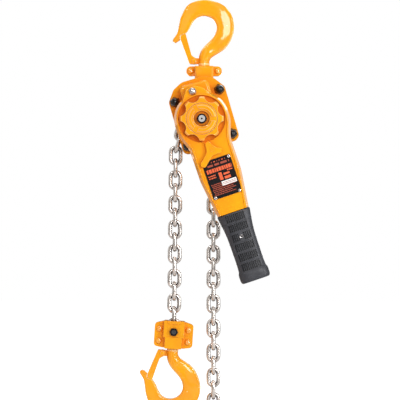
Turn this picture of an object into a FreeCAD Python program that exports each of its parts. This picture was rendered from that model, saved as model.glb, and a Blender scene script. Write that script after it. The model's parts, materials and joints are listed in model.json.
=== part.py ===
import FreeCAD, Part
import math
import os
import re
import Sketcher
from FreeCAD import Placement, Rotation, Vector

# A lever chain hoist of the 1.5 tonne class: a riveted and bolted housing that hangs from a swivel hook,
# a pocketed load sheave with its chain, a load brake, a ratchet lever and a second swivel hook below.
# Millimetres. X is to the right, Y runs into the scene, Z is up. The origin is the centre of the top
# hook's bowl. The hanging pieces stand as the tool was posed: the housing leans one way and the lever
# the other, so each group of pieces has a seat with a place and a lean of its own.

SIZES = {
    # hooks
    "bowl_radius": 21.0,
    "shank_radius": 9.75,
    "yoke_mouth": 64.5,
    "collar_radius": 13.0,
    "collar_top": 71.5,
    "collar_thick": 7.6,
    "swivel_gap": 0.1,
    "latch_pivot_x": -17.5,
    "latch_pivot_z": -56.0,
    "latch_pin_radius": 2.5,
    "latch_notch_x": -40.6,
    "latch_notch_z": -12.4,
    "latch_reach": 49.2,
    "latch_half_width": 8.0,
    "latch_sheet": 1.8,
    "lug_half_width": 3.4,
    "running_gap": 0.05,
    # yokes
    "yoke_half_depth": 15.0,
    "yoke_draft": 4.0,
    "yoke_flange": 5.5,
    "rivet_radius": 3.2,
    "rivet_head": 5.4,
    "rivet_rise": 3.2,
    "top_rivet_x": 23.4,
    "top_rivet_z": -73.3,
    "top_pin_radius": 5.0,
    "top_pin_z": -102.3,
    "top_lug_half_width": 12.5,
    # housing
    "wheel_x": -4.0,
    "wheel_z": -157.3,
    "housing_tilt": 16.3,
    "plate_mid": 4.0,
    "plate_half_width": 49.6,
    "plate_low": -49.0,
    "plate_side_top": 44.0,
    "plate_shoulder_x": 36.0,
    "plate_shoulder_z": 62.5,
    "plate_crown_x": 19.0,
    "plate_crown_z": 71.0,
    "plate_inner": 17.0,
    "plate_outer": 21.0,
    "stay_half_pitch": 39.2,
    "stay_high": 41.5,
    "stay_low": -36.6,
    "stay_radius": 4.0,
    "sleeve_radius": 5.5,
    "roller_radius": 6.0,
    # chain
    "wire_radius": 3.55,
    "link_half_width": 12.0,
    "link_half_inner": 10.55,
    "link_gap": 0.07,
    "load_vertex_angle": 149.06,
    "link_turn": 45.0,
    "load_lean": 17.05,
    "strand_lean": 0.6,
    "stop_wire_radius": 4.5,
    "stop_half_width": 15.0,
    "stop_half_inner": 12.0,
    # sheave and gears
    "sheave_rim": 30.6,
    "sheave_core": 13.6,
    "sheave_half_width": 15.6,
    "chain_groove": 4.2,
    "pocket_floor": 20.2,
    "pocket_play": 0.5,
    "pocket_corner": 9.0,
    "journal_radius": 15.0,
    "bearing_radius": 19.0,
    "spline_radius": 10.0,
    "shaft_radius": 5.7,
    "gear_module": 1.4,
    "pinion_teeth": 10,
    "gear_teeth": 26,
    "tooth_shift": 0.41,
    "tooth_backlash": 0.2,
    "gear_offset": 25.2,
    "first_stage_front": 36.2,
    "first_stage_back": 46.0,
    "second_stage_front": 24.0,
    "second_stage_back": 34.0,
    "axle_radius": 4.0,
    "case_back": 56.0,
    "case_wall": 3.0,
    # brake
    "cover_flange": 24.5,
    "cover_front": 46.5,
    "cover_wall": 3.0,
    "brake_disc_radius": 28.0,
    "ratchet_teeth": 12,
    "ratchet_root": 30.5,
    "ratchet_tip": 34.0,
    "ratchet_phase": 85.5,
    "pawl_pin_radius": 3.0,
    "neck_radius": 12.5,
    # lever
    "lever_tilt": 18.7,
    "lever_back": 48.0,
    "lever_split": 62.0,
    "lever_front": 78.0,
    "lever_wall": 3.0,
    "head_radius": 46.4,
    "neck_half_width": 36.0,
    "neck_end_half_width": 26.0,
    "neck_end": 164.4,
    "ear_reach": 48.6,
    "ear_radius": 9.0,
    "knob_recess": 39.5,
    "selector_pivot": 54.3,
    "selector_swing": 48.0,
    "rim_rise": 1.6,
    "change_teeth": 12,
    "change_radius": 22.0,
    "tail_half_width": 15.0,
    "tail_half_depth": 7.0,
    "grip_pin_reach": 207.8,
    "slot_rows": 6,
    "slot_columns": 10,
    "slot_first_row": 173.8,
    "slot_row_pitch": 17.0,
    "slot_pitch": 3.3,
    "slot_width": 1.8,
    "slot_length": 12.4,
    "slot_floor": 11.2,
    # hand wheel
    "knob_radius": 37.0,
    "scallop_radius": 12.0,
    "scallop_reach": 41.5,
    "scallops": 8,
    "knob_face": 91.0,
    "cap_rise": 1.6,
    "cap_notch": 3.8,
    "cap_notches": 3,
    # bottom yoke
    "chain_pin_radius": 4.0,
    "bottom_tilt": 3.8,
    "bottom_mouth": 29.0,
    "bottom_rivet_x": 24.8,
    "bottom_rivet_high": 3.6,
    "bottom_rivet_low": -16.8,
}

doc = FreeCAD.newDocument("LeverChainHoist")
sheet = doc.addObject("Spreadsheet::Sheet", "Sizes")
for row, (alias, value) in enumerate(SIZES.items(), start=1):
    sheet.set("A%d" % row, alias)
    sheet.set("B%d" % row, str(value))
    sheet.setAlias("B%d" % row, alias)
doc.recompute()

PIECES = {}


def bound(text):
    """The same expression with each size name pointing at its cell."""
    return re.sub(r"[a-z_]{3,}", lambda m: "Sizes." + m[0] if m[0] in SIZES else m[0], str(text))


def size(text):
    """The value of a size, or of an expression in sizes."""
    return float(sheet.evalExpression(bound(text)))


def polar(radius, degrees):
    """A point in the X-Z plane, counted from +X towards +Z."""
    angle = math.radians(degrees)
    return Vector(radius * math.cos(angle), 0, radius * math.sin(angle))


def derive(alias, value):
    """A size that follows from the driving ones, kept in a cell of its own."""
    SIZES[alias] = value
    row = len(SIZES)
    sheet.set("A%d" % row, alias)
    sheet.set("B%d" % row, repr(float(value)))
    sheet.setAlias("B%d" % row, alias)
    sheet.recompute()


def seat_of(x="0", z="0", tilt="0"):
    """A place in the X-Z plane with a clockwise lean, as expressions."""
    return {"x": x, "z": z, "tilt": tilt}


# The chain runs over four flat pockets. Links meet at the wire centre of each edge-on link's bow, so a
# step along an edge-on link is long and a step along an upright link is short.

EDGE_STEP = 2 * (size("link_half_inner") + size("wire_radius"))
FACE_STEP = EDGE_STEP - 4 * size("wire_radius") - 2 * size("link_gap")
PAIR_SPAN = math.sqrt(
    EDGE_STEP**2
    + FACE_STEP**2
    + 2 * EDGE_STEP * FACE_STEP * math.cos(math.radians(size("link_turn")))
)
derive("vertex_radius", PAIR_SPAN / (2 * math.sin(math.radians(size("link_turn")))))
EDGE_ANGLE = 2 * math.degrees(math.asin(EDGE_STEP / 2 / size("vertex_radius")))
FACE_ANGLE = 2 * size("link_turn") - EDGE_ANGLE
derive("sheave_phase", 90 - (size("load_vertex_angle") - FACE_ANGLE - EDGE_ANGLE / 2))

HANGER = seat_of()
HOUSING = seat_of("wheel_x", "wheel_z", "-housing_tilt")
WHEEL = seat_of("wheel_x", "wheel_z", "sheave_phase")
LEVER = seat_of("wheel_x", "wheel_z", "-lever_tilt")


def put(thing, seat):
    """Place an object on its seat, bound to the cells."""
    thing.Placement = Placement(Vector(0, 0, 0), Rotation(Vector(0, 1, 0), 1.0))
    thing.setExpression("Placement.Rotation.Angle", bound(seat["tilt"]))
    thing.setExpression("Placement.Base.x", bound(seat["x"]))
    thing.setExpression("Placement.Base.z", bound(seat["z"]))


def placement_of(seat):
    """The same seat as a value, for shapes that part functions make."""
    turn = Rotation(Vector(0, 1, 0), size(seat["tilt"]))
    return Placement(Vector(size(seat["x"]), 0, size(seat["z"])), turn)


def place_point(sketch, geometry, end, x, y):
    """Tie a point of a sketch to the origin by two bound distances."""
    for kind, text in (("DistanceX", x), ("DistanceY", y)):
        index = sketch.addConstraint(Sketcher.Constraint(kind, -1, 1, geometry, end, size(text)))
        sketch.setExpression("Constraints[%d]" % index, bound(text))


def bind_radius(sketch, geometry, radius):
    index = sketch.addConstraint(Sketcher.Constraint("Radius", geometry, size(radius)))
    sketch.setExpression("Constraints[%d]" % index, bound(radius))


def draw_circle(sketch, x, y, radius):
    centre = Vector(size(x), size(y), 0)
    ring = sketch.addGeometry(Part.Circle(centre, Vector(0, 0, 1), size(radius)), False)
    bind_radius(sketch, ring, radius)
    place_point(sketch, ring, 3, x, y)


def draw_outline(sketch, corners):
    """A closed outline of straight sides; a corner with a radius gets a tangent arc."""
    points = [Vector(size(c[0]), size(c[1]), 0) for c in corners]
    radii = [size(c[2]) if len(c) > 2 else 0.0 for c in corners]
    count = len(points)
    starts, ends, arcs = [], [], []
    for i, point in enumerate(points):
        back = (points[i - 1] - point).normalize()
        ahead = (points[(i + 1) % count] - point).normalize()
        if radii[i] <= 0:
            starts.append(point)
            ends.append(point)
            arcs.append(None)
            continue
        half = back.getAngle(ahead) / 2
        reach = radii[i] / math.tan(half)
        centre = point + (back + ahead).normalize() * (radii[i] / math.sin(half))
        starts.append(point + back * reach)
        ends.append(point + ahead * reach)
        arcs.append(centre)
    sides = [
        sketch.addGeometry(Part.LineSegment(ends[i], starts[(i + 1) % count]), False)
        for i in range(count)
    ]
    for i in range(count):
        before, after = sides[i - 1], sides[i]
        if arcs[i] is None:
            sketch.addConstraint(Sketcher.Constraint("Coincident", before, 2, after, 1))
            place_point(sketch, after, 1, corners[i][0], corners[i][1])
            continue
        first, last = starts[i] - arcs[i], ends[i] - arcs[i]
        left_turn = first.cross(last).z > 0
        low, high = (first, last) if left_turn else (last, first)
        low_angle = math.atan2(low.y, low.x)
        high_angle = math.atan2(high.y, high.x)
        if high_angle < low_angle:
            high_angle += 2 * math.pi
        circle = Part.Circle(arcs[i], Vector(0, 0, 1), radii[i])
        arc = sketch.addGeometry(Part.ArcOfCircle(circle, low_angle, high_angle), False)
        enters, leaves = (1, 2) if left_turn else (2, 1)
        sketch.addConstraint(Sketcher.Constraint("Tangent", before, 2, arc, enters))
        sketch.addConstraint(Sketcher.Constraint("Tangent", arc, leaves, after, 1))
        bind_radius(sketch, arc, corners[i][2])
        corner = sketch.addGeometry(Part.Point(points[i]), True)
        sketch.addConstraint(Sketcher.Constraint("PointOnObject", corner, 1, before))
        sketch.addConstraint(Sketcher.Constraint("PointOnObject", corner, 1, after))
        place_point(sketch, corner, 1, corners[i][0], corners[i][1])


def inset(corners, gap):
    """The corners of an anticlockwise outline, moved inwards by a wall thickness."""
    points = [Vector(size(c[0]), size(c[1]), 0) for c in corners]
    moved = []
    for i, point in enumerate(points):
        before = (point - points[i - 1]).normalize()
        after = (points[(i + 1) % len(points)] - point).normalize()
        inward = Vector(-before.y, before.x, 0) + Vector(-after.y, after.x, 0)
        scale = gap / (inward.Length / 2) ** 2 / 2
        radius = size(corners[i][2]) if len(corners[i]) > 2 else 0.0
        turns_left = before.cross(after).z > 0
        rounded = max(radius - gap, 0.5) if turns_left else radius + gap
        place = point + inward * scale
        moved.append((place.x, place.y, rounded if radius else 0))
    return moved


class Piece:
    """One rigid piece as a body. Its sketches lie in X-Z planes and depth is counted along Y."""

    def __init__(self, label, seat=HANGER):
        self.body = doc.addObject("PartDesign::Body", label)
        self.body.Label = label
        self.count = 0
        put(self.body, seat)
        PIECES[label] = self.body

    def feature(self, kind, name):
        self.count += 1
        return self.body.newObject(kind, "%s_%s_%d" % (self.body.Label, name, self.count))

    def sketch(self, role, lift):
        """An empty sketch on one of the body's own planes, moved along that plane's normal."""
        plane = [part for part in self.body.Origin.OriginFeatures if part.Role == role][0]
        sketch = self.feature("Sketcher::SketchObject", "sketch")
        sketch.AttachmentSupport = (plane, [""])
        sketch.MapMode = "FlatFace"
        sketch.setExpression("AttachmentOffset.Base.z", bound(lift))
        return sketch

    def drawn(self, depth, shapes):
        """A sketch at a depth along Y, holding outlines and circles."""
        sketch = self.sketch("XZ_Plane", "-(%s)" % depth)
        for shape in shapes:
            if isinstance(shape, list):
                draw_outline(sketch, shape)
            else:
                draw_circle(sketch, *shape)
        return sketch

    def slab(self, back, front, *shapes, taper=None):
        """Material from the back depth forward to the front depth."""
        pad = self.feature("PartDesign::Pad", "slab")
        pad.Profile = self.drawn(back, shapes)
        pad.setExpression("Length", bound("(%s)-(%s)" % (back, front)))
        if taper:
            pad.setExpression("TaperAngle", bound(taper))
        return pad

    def cut(self, front, back, *shapes):
        """A pocket from the front depth to the back depth."""
        pocket = self.feature("PartDesign::Pocket", "cut")
        pocket.Profile = self.drawn(front, shapes)
        pocket.setExpression("Length", bound("(%s)-(%s)" % (back, front)))
        return pocket

    def turned(self, profile):
        """Material turned about the body's Y axis; the profile lists radius and depth."""
        sketch = self.sketch("XY_Plane", "0")
        draw_outline(sketch, profile)
        turn = self.feature("PartDesign::Revolution", "turned")
        turn.Profile = sketch
        turn.ReferenceAxis = (sketch, ["V_Axis"])
        turn.Angle = 360
        return turn

    def bored(self, profile):
        """A cavity turned about the body's Z axis; the profile lists radius and height."""
        sketch = self.sketch("XZ_Plane", "0")
        draw_outline(sketch, profile)
        groove = self.feature("PartDesign::Groove", "bored")
        groove.Profile = sketch
        groove.ReferenceAxis = (sketch, ["V_Axis"])
        groove.Angle = 360
        return groove

    def around(self, feature, count):
        """Repeat a feature about the body's Y axis."""
        axis = [part for part in self.body.Origin.OriginFeatures if part.Role == "Y_Axis"][0]
        pattern = self.feature("PartDesign::PolarPattern", "around")
        pattern.Originals = [feature]
        pattern.Axis = (axis, [""])
        pattern.Angle = 360
        pattern.setExpression("Occurrences", bound(count))
        self.body.Tip = pattern
        return pattern

    def edges(self, test):
        """The names of the tip's edges whose two ends pass a test."""
        doc.recompute()
        found = []
        for number, edge in enumerate(self.body.Tip.Shape.Edges, start=1):
            if len(edge.Vertexes) == 2 and all(test(v.Point) for v in edge.Vertexes):
                found.append("Edge%d" % number)
        return found

    def eased(self, kind, amount, test):
        """Round or chamfer the edges that pass a test."""
        base = self.body.Tip
        names = self.edges(test)
        ease = self.feature("PartDesign::" + kind, kind.lower())
        ease.Base = (base, names)
        ease.setExpression("Radius" if kind == "Fillet" else "Size", bound(amount))
        return ease


def shaped(label, shape, place=Placement()):
    """A piece whose shape part functions make from the sizes."""
    piece = doc.addObject("Part::Feature", label)
    piece.Label = label
    piece.Shape = shape
    piece.Placement = place.multiply(shape.Placement)
    PIECES[label] = piece
    return piece


def mirrored(label, source):
    """The rear half of a pair: the front half seen in the X-Z plane."""
    piece = doc.addObject("Part::Mirroring", label)
    piece.Label = label
    piece.Source = source
    piece.Base = Vector(0, 0, 0)
    piece.Normal = Vector(0, 1, 0)
    PIECES[label] = piece
    return piece


def rod(radius, front, back):
    start = Vector(0, size(front), 0)
    return Part.makeCylinder(size(radius), size(back) - size(front), start, Vector(0, 1, 0))


def ring_at(depth, radius, sides):
    """A regular polygon, or a circle where sides is 0, square to Y."""
    if not sides:
        return Part.Wire(Part.makeCircle(radius, Vector(0, depth, 0), Vector(0, 1, 0)))
    corners = []
    for i in range(sides):
        point = polar(radius, 360.0 * i / sides)
        corners.append(Vector(point.x, depth, point.z))
    return Part.makePolygon(corners + corners[:1])


def stepped(steps, sides=0):
    """A bar along Y made of steps; each lists front depth, back depth, front radius, back radius, sides."""
    bars = []
    for step in steps:
        front, back, front_radius, back_radius = step[:4]
        corners = int(step[4]) if len(step) > 4 else sides
        ends = [ring_at(front, front_radius, corners), ring_at(back, back_radius, corners)]
        bars.append(Part.makeLoft(ends, True, True))
    whole = bars[0]
    for bar in bars[1:]:
        whole = whole.fuse(bar)
    return whole.removeSplitter() if len(bars) > 1 else whole


def group(label, places, steps, sides=0, seat=HANGER, bore=None, bore_front="-200"):
    """Identical fasteners in one node, each at its own X and Z, with a bore where one is given."""
    single = stepped([[size(value) for value in step] for step in steps], sides)
    if bore:
        single = single.cut(rod(bore, bore_front, "200"))
    copies = []
    for x, z in places:
        copy = single.copy()
        copy.translate(Vector(size(x), 0, size(z)))
        copies.append(copy)
    whole = Part.makeCompound(copies) if len(copies) > 1 else copies[0]
    return shaped(label, whole, placement_of(seat))


# Hook marks from the shank round the bowl to the tip: the inner edge's X and Z, the outer edge's X and Z,
# the half depth, and how square the section is, from 2 for an ellipse upwards

HOOK_MARKS = [
    (-9.75, -62.0, 9.75, -62.0, 9.75, 2.0),
    (-9.6, -54.0, 9.9, -55.6, 9.8, 2.0),
    (-8.2, -44.5, 13.2, -50.0, 10.2, 2.2),
    (-2.5, -33.5, 23.0, -43.8, 10.9, 2.4),
    (7.5, -23.0, 36.5, -35.0, 11.4, 2.6),
    (16.8, -12.6, 46.8, -20.0, 11.8, 2.6),
    (21.0, 0.0, 52.4, -0.5, 12.0, 2.6),
    (18.7, 9.5, 48.2, 21.4, 12.0, 2.6),
    (12.3, 17.0, 32.2, 40.9, 11.8, 2.6),
    (0.0, 21.0, 0.6, 50.0, 11.4, 2.6),
    (-11.6, 17.5, -27.2, 41.0, 10.9, 2.6),
    (-19.3, 8.6, -39.4, 21.0, 10.2, 2.6),
    (-24.0, -0.5, -43.6, 4.2, 9.4, 2.6),
    (-30.0, -9.0, -46.2, -8.2, 8.4, 2.6),
    (-37.0, -17.0, -51.8, -16.4, 7.2, 2.4),
    (-43.8, -22.6, -54.0, -20.6, 5.6, 2.2),
    (-48.6, -25.4, -52.6, -23.4, 2.6, 2.0),
]
SECTIONS_PER_MARK = 3
SECTION_SIDES = 16


def smooth_between(marks, share):
    """The second of four marks carried smoothly towards the third by a share of the way."""
    values = []
    for before, start, end, after in zip(*marks):
        square = 2 * before - 5 * start + 4 * end - after
        cube = 3 * start - before - 3 * end + after
        values.append(start + 0.5 * ((end - before) * share + square * share**2 + cube * share**3))
    return values


def hook_section(inner_x, inner_z, outer_x, outer_z, half_depth, squareness):
    """A rounded polygon between the inner and the outer edge of the hook."""
    start, end = Vector(inner_x, 0, inner_z), Vector(outer_x, 0, outer_z)
    middle, radial = (start + end) * 0.5, (end - start) * 0.5
    power = 2.0 / squareness
    corners = []
    for i in range(SECTION_SIDES):
        angle = 2 * math.pi * (i + 0.5) / SECTION_SIDES
        across = math.copysign(abs(math.cos(angle)) ** power, math.cos(angle))
        deep = math.copysign(abs(math.sin(angle)) ** power, math.sin(angle))
        corners.append(middle + radial * across + Vector(0, half_depth * deep, 0))
    return Part.makePolygon(corners + corners[:1])


def hook_shape():
    marks = HOOK_MARKS[:1] + HOOK_MARKS + HOOK_MARKS[-1:]
    rows = []
    for i in range(len(HOOK_MARKS) - 1):
        for step in range(SECTIONS_PER_MARK):
            rows.append(smooth_between(marks[i:i + 4], step / SECTIONS_PER_MARK))
    rows.append(HOOK_MARKS[-1])
    forging = Part.makeLoft([hook_section(*row) for row in rows], True, True)

    pivot = Vector(size("latch_pivot_x"), 0, size("latch_pivot_z"))
    along = Vector(0, 1, 0)
    sweep = Part.makeCylinder(size("latch_reach"), 40, pivot - along * 20, along)
    seat_low = Vector(size("latch_notch_x"), -20, size("latch_notch_z") - 20)
    forging = forging.cut(sweep.common(Part.makeBox(20, 40, 30, seat_low)))

    up = Vector(0, 0, 1)
    neck_low = size("-(collar_top+collar_thick)")
    shank = Part.makeCylinder(size("shank_radius"), -60 - neck_low, Vector(0, 0, neck_low), up)
    collar = Part.makeCylinder(
        size("collar_radius"), size("collar_thick"), Vector(0, 0, neck_low), up
    )
    half = size("lug_half_width")
    boss = Part.makeCylinder(5.0, 2 * half, pivot - along * half, along)
    web = Part.makeBox(-pivot.x, 2 * half, 10.0, pivot + Vector(0, -half, -5.0))
    whole = forging.fuse([shank, collar, boss, web])
    eye = Part.makeCylinder(size("latch_pin_radius"), 60, pivot - along * 30, along)
    return whole.cut(eye).removeSplitter()


def link_shape(wire, half_width, half_inner):
    """A chain link along X, wide in Z, of straight bars with mitred corners."""
    bow = half_width - wire
    reach = half_inner + wire
    cut_back = bow * math.tan(math.radians(22.5))
    ends = reach - bow
    quarter = [(ends + cut_back, bow), (reach, cut_back)]
    upper = quarter + [(x, -z) for x, z in reversed(quarter)]
    route = [Vector(x, 0, z) for x, z in upper]
    route += [Vector(-x, 0, z) for x, z in reversed(upper)]
    count, sides = len(route), 8
    rings = []
    for i, point in enumerate(route):
        before = (point - route[i - 1]).normalize()
        after = (route[(i + 1) % count] - point).normalize()
        outward = (before - after).normalize()
        stretch = 1 / math.cos(before.getAngle(after) / 2)
        ring = []
        for k in range(sides):
            angle = 2 * math.pi * (k + 0.5) / sides
            flat = outward * (wire * math.cos(angle) * stretch)
            ring.append(point + flat + Vector(0, wire * math.sin(angle), 0))
        rings.append(ring)
    faces = []
    for i in range(count):
        here, there = rings[i], rings[(i + 1) % count]
        for k in range(sides):
            j = (k + 1) % sides
            loop = [here[k], there[k], there[j], here[j], here[k]]
            faces.append(Part.Face(Part.makePolygon(loop)))
    link = Part.Solid(Part.makeShell(faces))
    if link.Volume < 0:
        link.reverse()
    return link


def linked(centre, along, upright, base):
    """A copy of a link with its length along a direction, wide in the X-Z plane or wide along Y."""
    side = along.cross(Vector(0, 1, 0)) if upright else Vector(0, 1, 0)
    normal = side.cross(along)
    turn = FreeCAD.Matrix(
        along.x, normal.x, side.x, centre.x,
        along.y, normal.y, side.y, centre.y,
        along.z, normal.z, side.z, centre.z,
        0, 0, 0, 1,
    )
    return base.transformed(turn)


def strand(start, runs, base):
    """Links hung one below another; each run is upright or not, and its lean to the left in degrees."""
    links, joints = [], [start]
    for upright, lean in runs:
        angle = math.radians(lean)
        along = Vector(-math.sin(angle), 0, -math.cos(angle))
        step = FACE_STEP if upright else EDGE_STEP
        centre = joints[-1] + along * (step / 2)
        links.append(linked(centre, along, upright, base))
        joints.append(joints[-1] + along * step)
    return links, joints


def wheel_point(radius, degrees):
    return Vector(size("wheel_x"), 0, size("wheel_z")) + polar(radius, degrees)


def build_chain():
    base = link_shape(size("wire_radius"), size("link_half_width"), size("link_half_inner"))
    vertex = size("vertex_radius")
    angle = size("load_vertex_angle")
    start = wheel_point(vertex, angle)
    wrapped = []
    joint = start
    for upright in (True, False, True, False):
        angle -= FACE_ANGLE if upright else EDGE_ANGLE
        after = wheel_point(vertex, angle)
        along = (after - joint).normalize()
        wrapped.append(linked((joint + after) * 0.5, along, upright, base))
        joint = after
    shaped("sheave_links", Part.makeCompound(wrapped))

    lean, straight = size("load_lean"), size("strand_lean")
    load_runs = [(False, lean), (True, lean), (False, lean)]
    load_runs += [(True, straight), (False, straight)] * 7 + [(True, straight)]
    links, joints = strand(start, load_runs, base)
    shaped("load_chain_lead", links[0])
    shaped("load_chain", Part.makeCompound(links[1:]))
    derive("load_joint_x", joints[1].x)
    derive("load_joint_z", joints[1].z)

    last = (joints[-1] + joints[-2]) * 0.5
    down = (joints[-1] - joints[-2]).normalize()
    pin_drop = size("link_half_inner-chain_pin_radius-running_gap")
    pin = last + down * pin_drop
    derive("chain_pin_x", pin.x)
    derive("chain_pin_z", pin.z)

    slack_runs = [(True, -16), (False, -12), (True, 4), (False, 14), (True, 16), (False, 4)]
    slack_runs += [(True, 0), (False, 0)] * 8 + [(True, 0)]
    links, joints = strand(joint, slack_runs, base)
    shaped("slack_chain_lead", links[0])
    shaped("slack_chain", Part.makeCompound(links[1:]))
    derive("slack_vertex_x", joints[0].x)
    derive("slack_vertex_z", joints[0].z)
    derive("slack_joint_x", joints[1].x)
    derive("slack_joint_z", joints[1].z)

    stop = link_shape(size("stop_wire_radius"), size("stop_half_width"), size("stop_half_inner"))
    last = (joints[-1] + joints[-2]) * 0.5
    drop = size("link_half_inner+stop_half_inner") - 2 * size("link_gap")
    shaped("chain_end_stop", linked(last - Vector(0, 0, drop), Vector(0, 0, -1), False, stop))


def build_top():
    shaped("top_hook", hook_shape())
    x, z = "latch_pivot_x", "latch_pivot_z"
    tip_x, tip_z = "latch_notch_x+0.4", "latch_notch_z-0.5"
    profile = [
        (x + "-7.5", z + "-5.2", "2"),
        (x + "+4.2", z + "-4.4", "3"),
        (x + "+4.8", z + "+4.0", "3"),
        (x + "-3.6", z + "+9.0", "8"),
        (tip_x + "+8.6", tip_z, "1"),
        (tip_x, tip_z, "0.6"),
        (tip_x, tip_z + "-6.4", "3"),
    ]
    latch = Piece("top_latch")
    latch.slab("latch_half_width", "-latch_half_width", profile)
    latch.slab("latch_half_width", "-latch_half_width", (x, z, "5.4"))
    hollow = [
        (x + "-5.6", z + "-9.0"),
        (x + "+12", z + "-9.0"),
        (x + "+12", z + "+9.0"),
        (tip_x + "+14", tip_z + "+6"),
        (tip_x + "+2.4", tip_z + "+6"),
        (tip_x + "+2.4", tip_z + "-6.6"),
    ]
    latch.cut("-latch_half_width+latch_sheet", "latch_half_width-latch_sheet", hollow)
    eye = (x, z, "latch_pin_radius+running_gap")
    latch.cut("-latch_half_width", "latch_half_width", eye)

    pin_steps = [
        ("-latch_half_width-1.3", "-latch_half_width-0.1", "3.4", "3.8"),
        ("-latch_half_width-0.1", "latch_half_width+0.1", "latch_pin_radius", "latch_pin_radius"),
        ("latch_half_width+0.1", "latch_half_width+1.3", "3.8", "3.4"),
    ]
    group("top_latch_pin", [(x, z)], pin_steps)

    yoke = Piece("top_yoke_front")
    lug, mouth = "top_lug_half_width", "-yoke_mouth"
    foot = "top_pin_z-top_lug_half_width"
    flange = [
        ("-30.2", "-81.6", "7.5"), ("-" + lug, "-81.6", "2.5"), ("-" + lug, foot, lug + "-0.1"),
        (lug, foot, lug + "-0.1"), (lug, "-81.6", "2.5"), ("30.2", "-81.6", "7.5"),
        ("30.2", mouth + "-0.6", "7.5"), ("-30.2", mouth + "-0.6", "7.5"),
    ]
    yoke.slab("0", "-yoke_flange", flange)
    box = [
        ("-16", "-88", "2"), ("-" + lug, "-91"), ("-" + lug, foot, lug + "-0.1"),
        (lug, foot, lug + "-0.1"), (lug, "-91"), ("16", "-88", "2"),
        ("16", mouth, "1"), ("-16", mouth, "1"),
    ]
    yoke.slab("0", "-yoke_half_depth+yoke_draft", box)
    yoke.slab("-yoke_half_depth+yoke_draft", "-yoke_half_depth", box, taper="-38")
    yoke.bored([
        ("0", "-yoke_mouth+2"), ("0", "-(collar_top+collar_thick+swivel_gap)"),
        ("collar_radius+swivel_gap", "-(collar_top+collar_thick+swivel_gap)"),
        ("collar_radius+swivel_gap", "-(collar_top-swivel_gap)"),
        ("shank_radius+swivel_gap", "-(collar_top-swivel_gap)"),
        ("shank_radius+swivel_gap", "-yoke_mouth+2"),
    ])
    places = [("-top_rivet_x", "top_rivet_z"), ("top_rivet_x", "top_rivet_z")]
    holes = [(x, z, "rivet_radius") for x, z in places]
    yoke.cut("-yoke_half_depth", "0", ("0", "top_pin_z", "top_pin_radius+running_gap"), *holes)
    mirrored("top_yoke_rear", yoke.body)

    grip, rise = "yoke_flange", "yoke_flange+rivet_rise"
    rivet_steps = [
        ("-(%s)" % rise, "-(%s)" % grip, "rivet_head*0.62", "rivet_head"),
        ("-(%s)" % grip, grip, "rivet_radius", "rivet_radius"),
        (grip, rise, "rivet_head", "rivet_head*0.62"),
    ]
    group("top_yoke_rivets", places, rivet_steps, 12)
    pin = [("-plate_outer", "plate_outer", "top_pin_radius", "top_pin_radius")]
    group("top_pin", [("0", "top_pin_z")], pin)
    return rivet_steps


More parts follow.
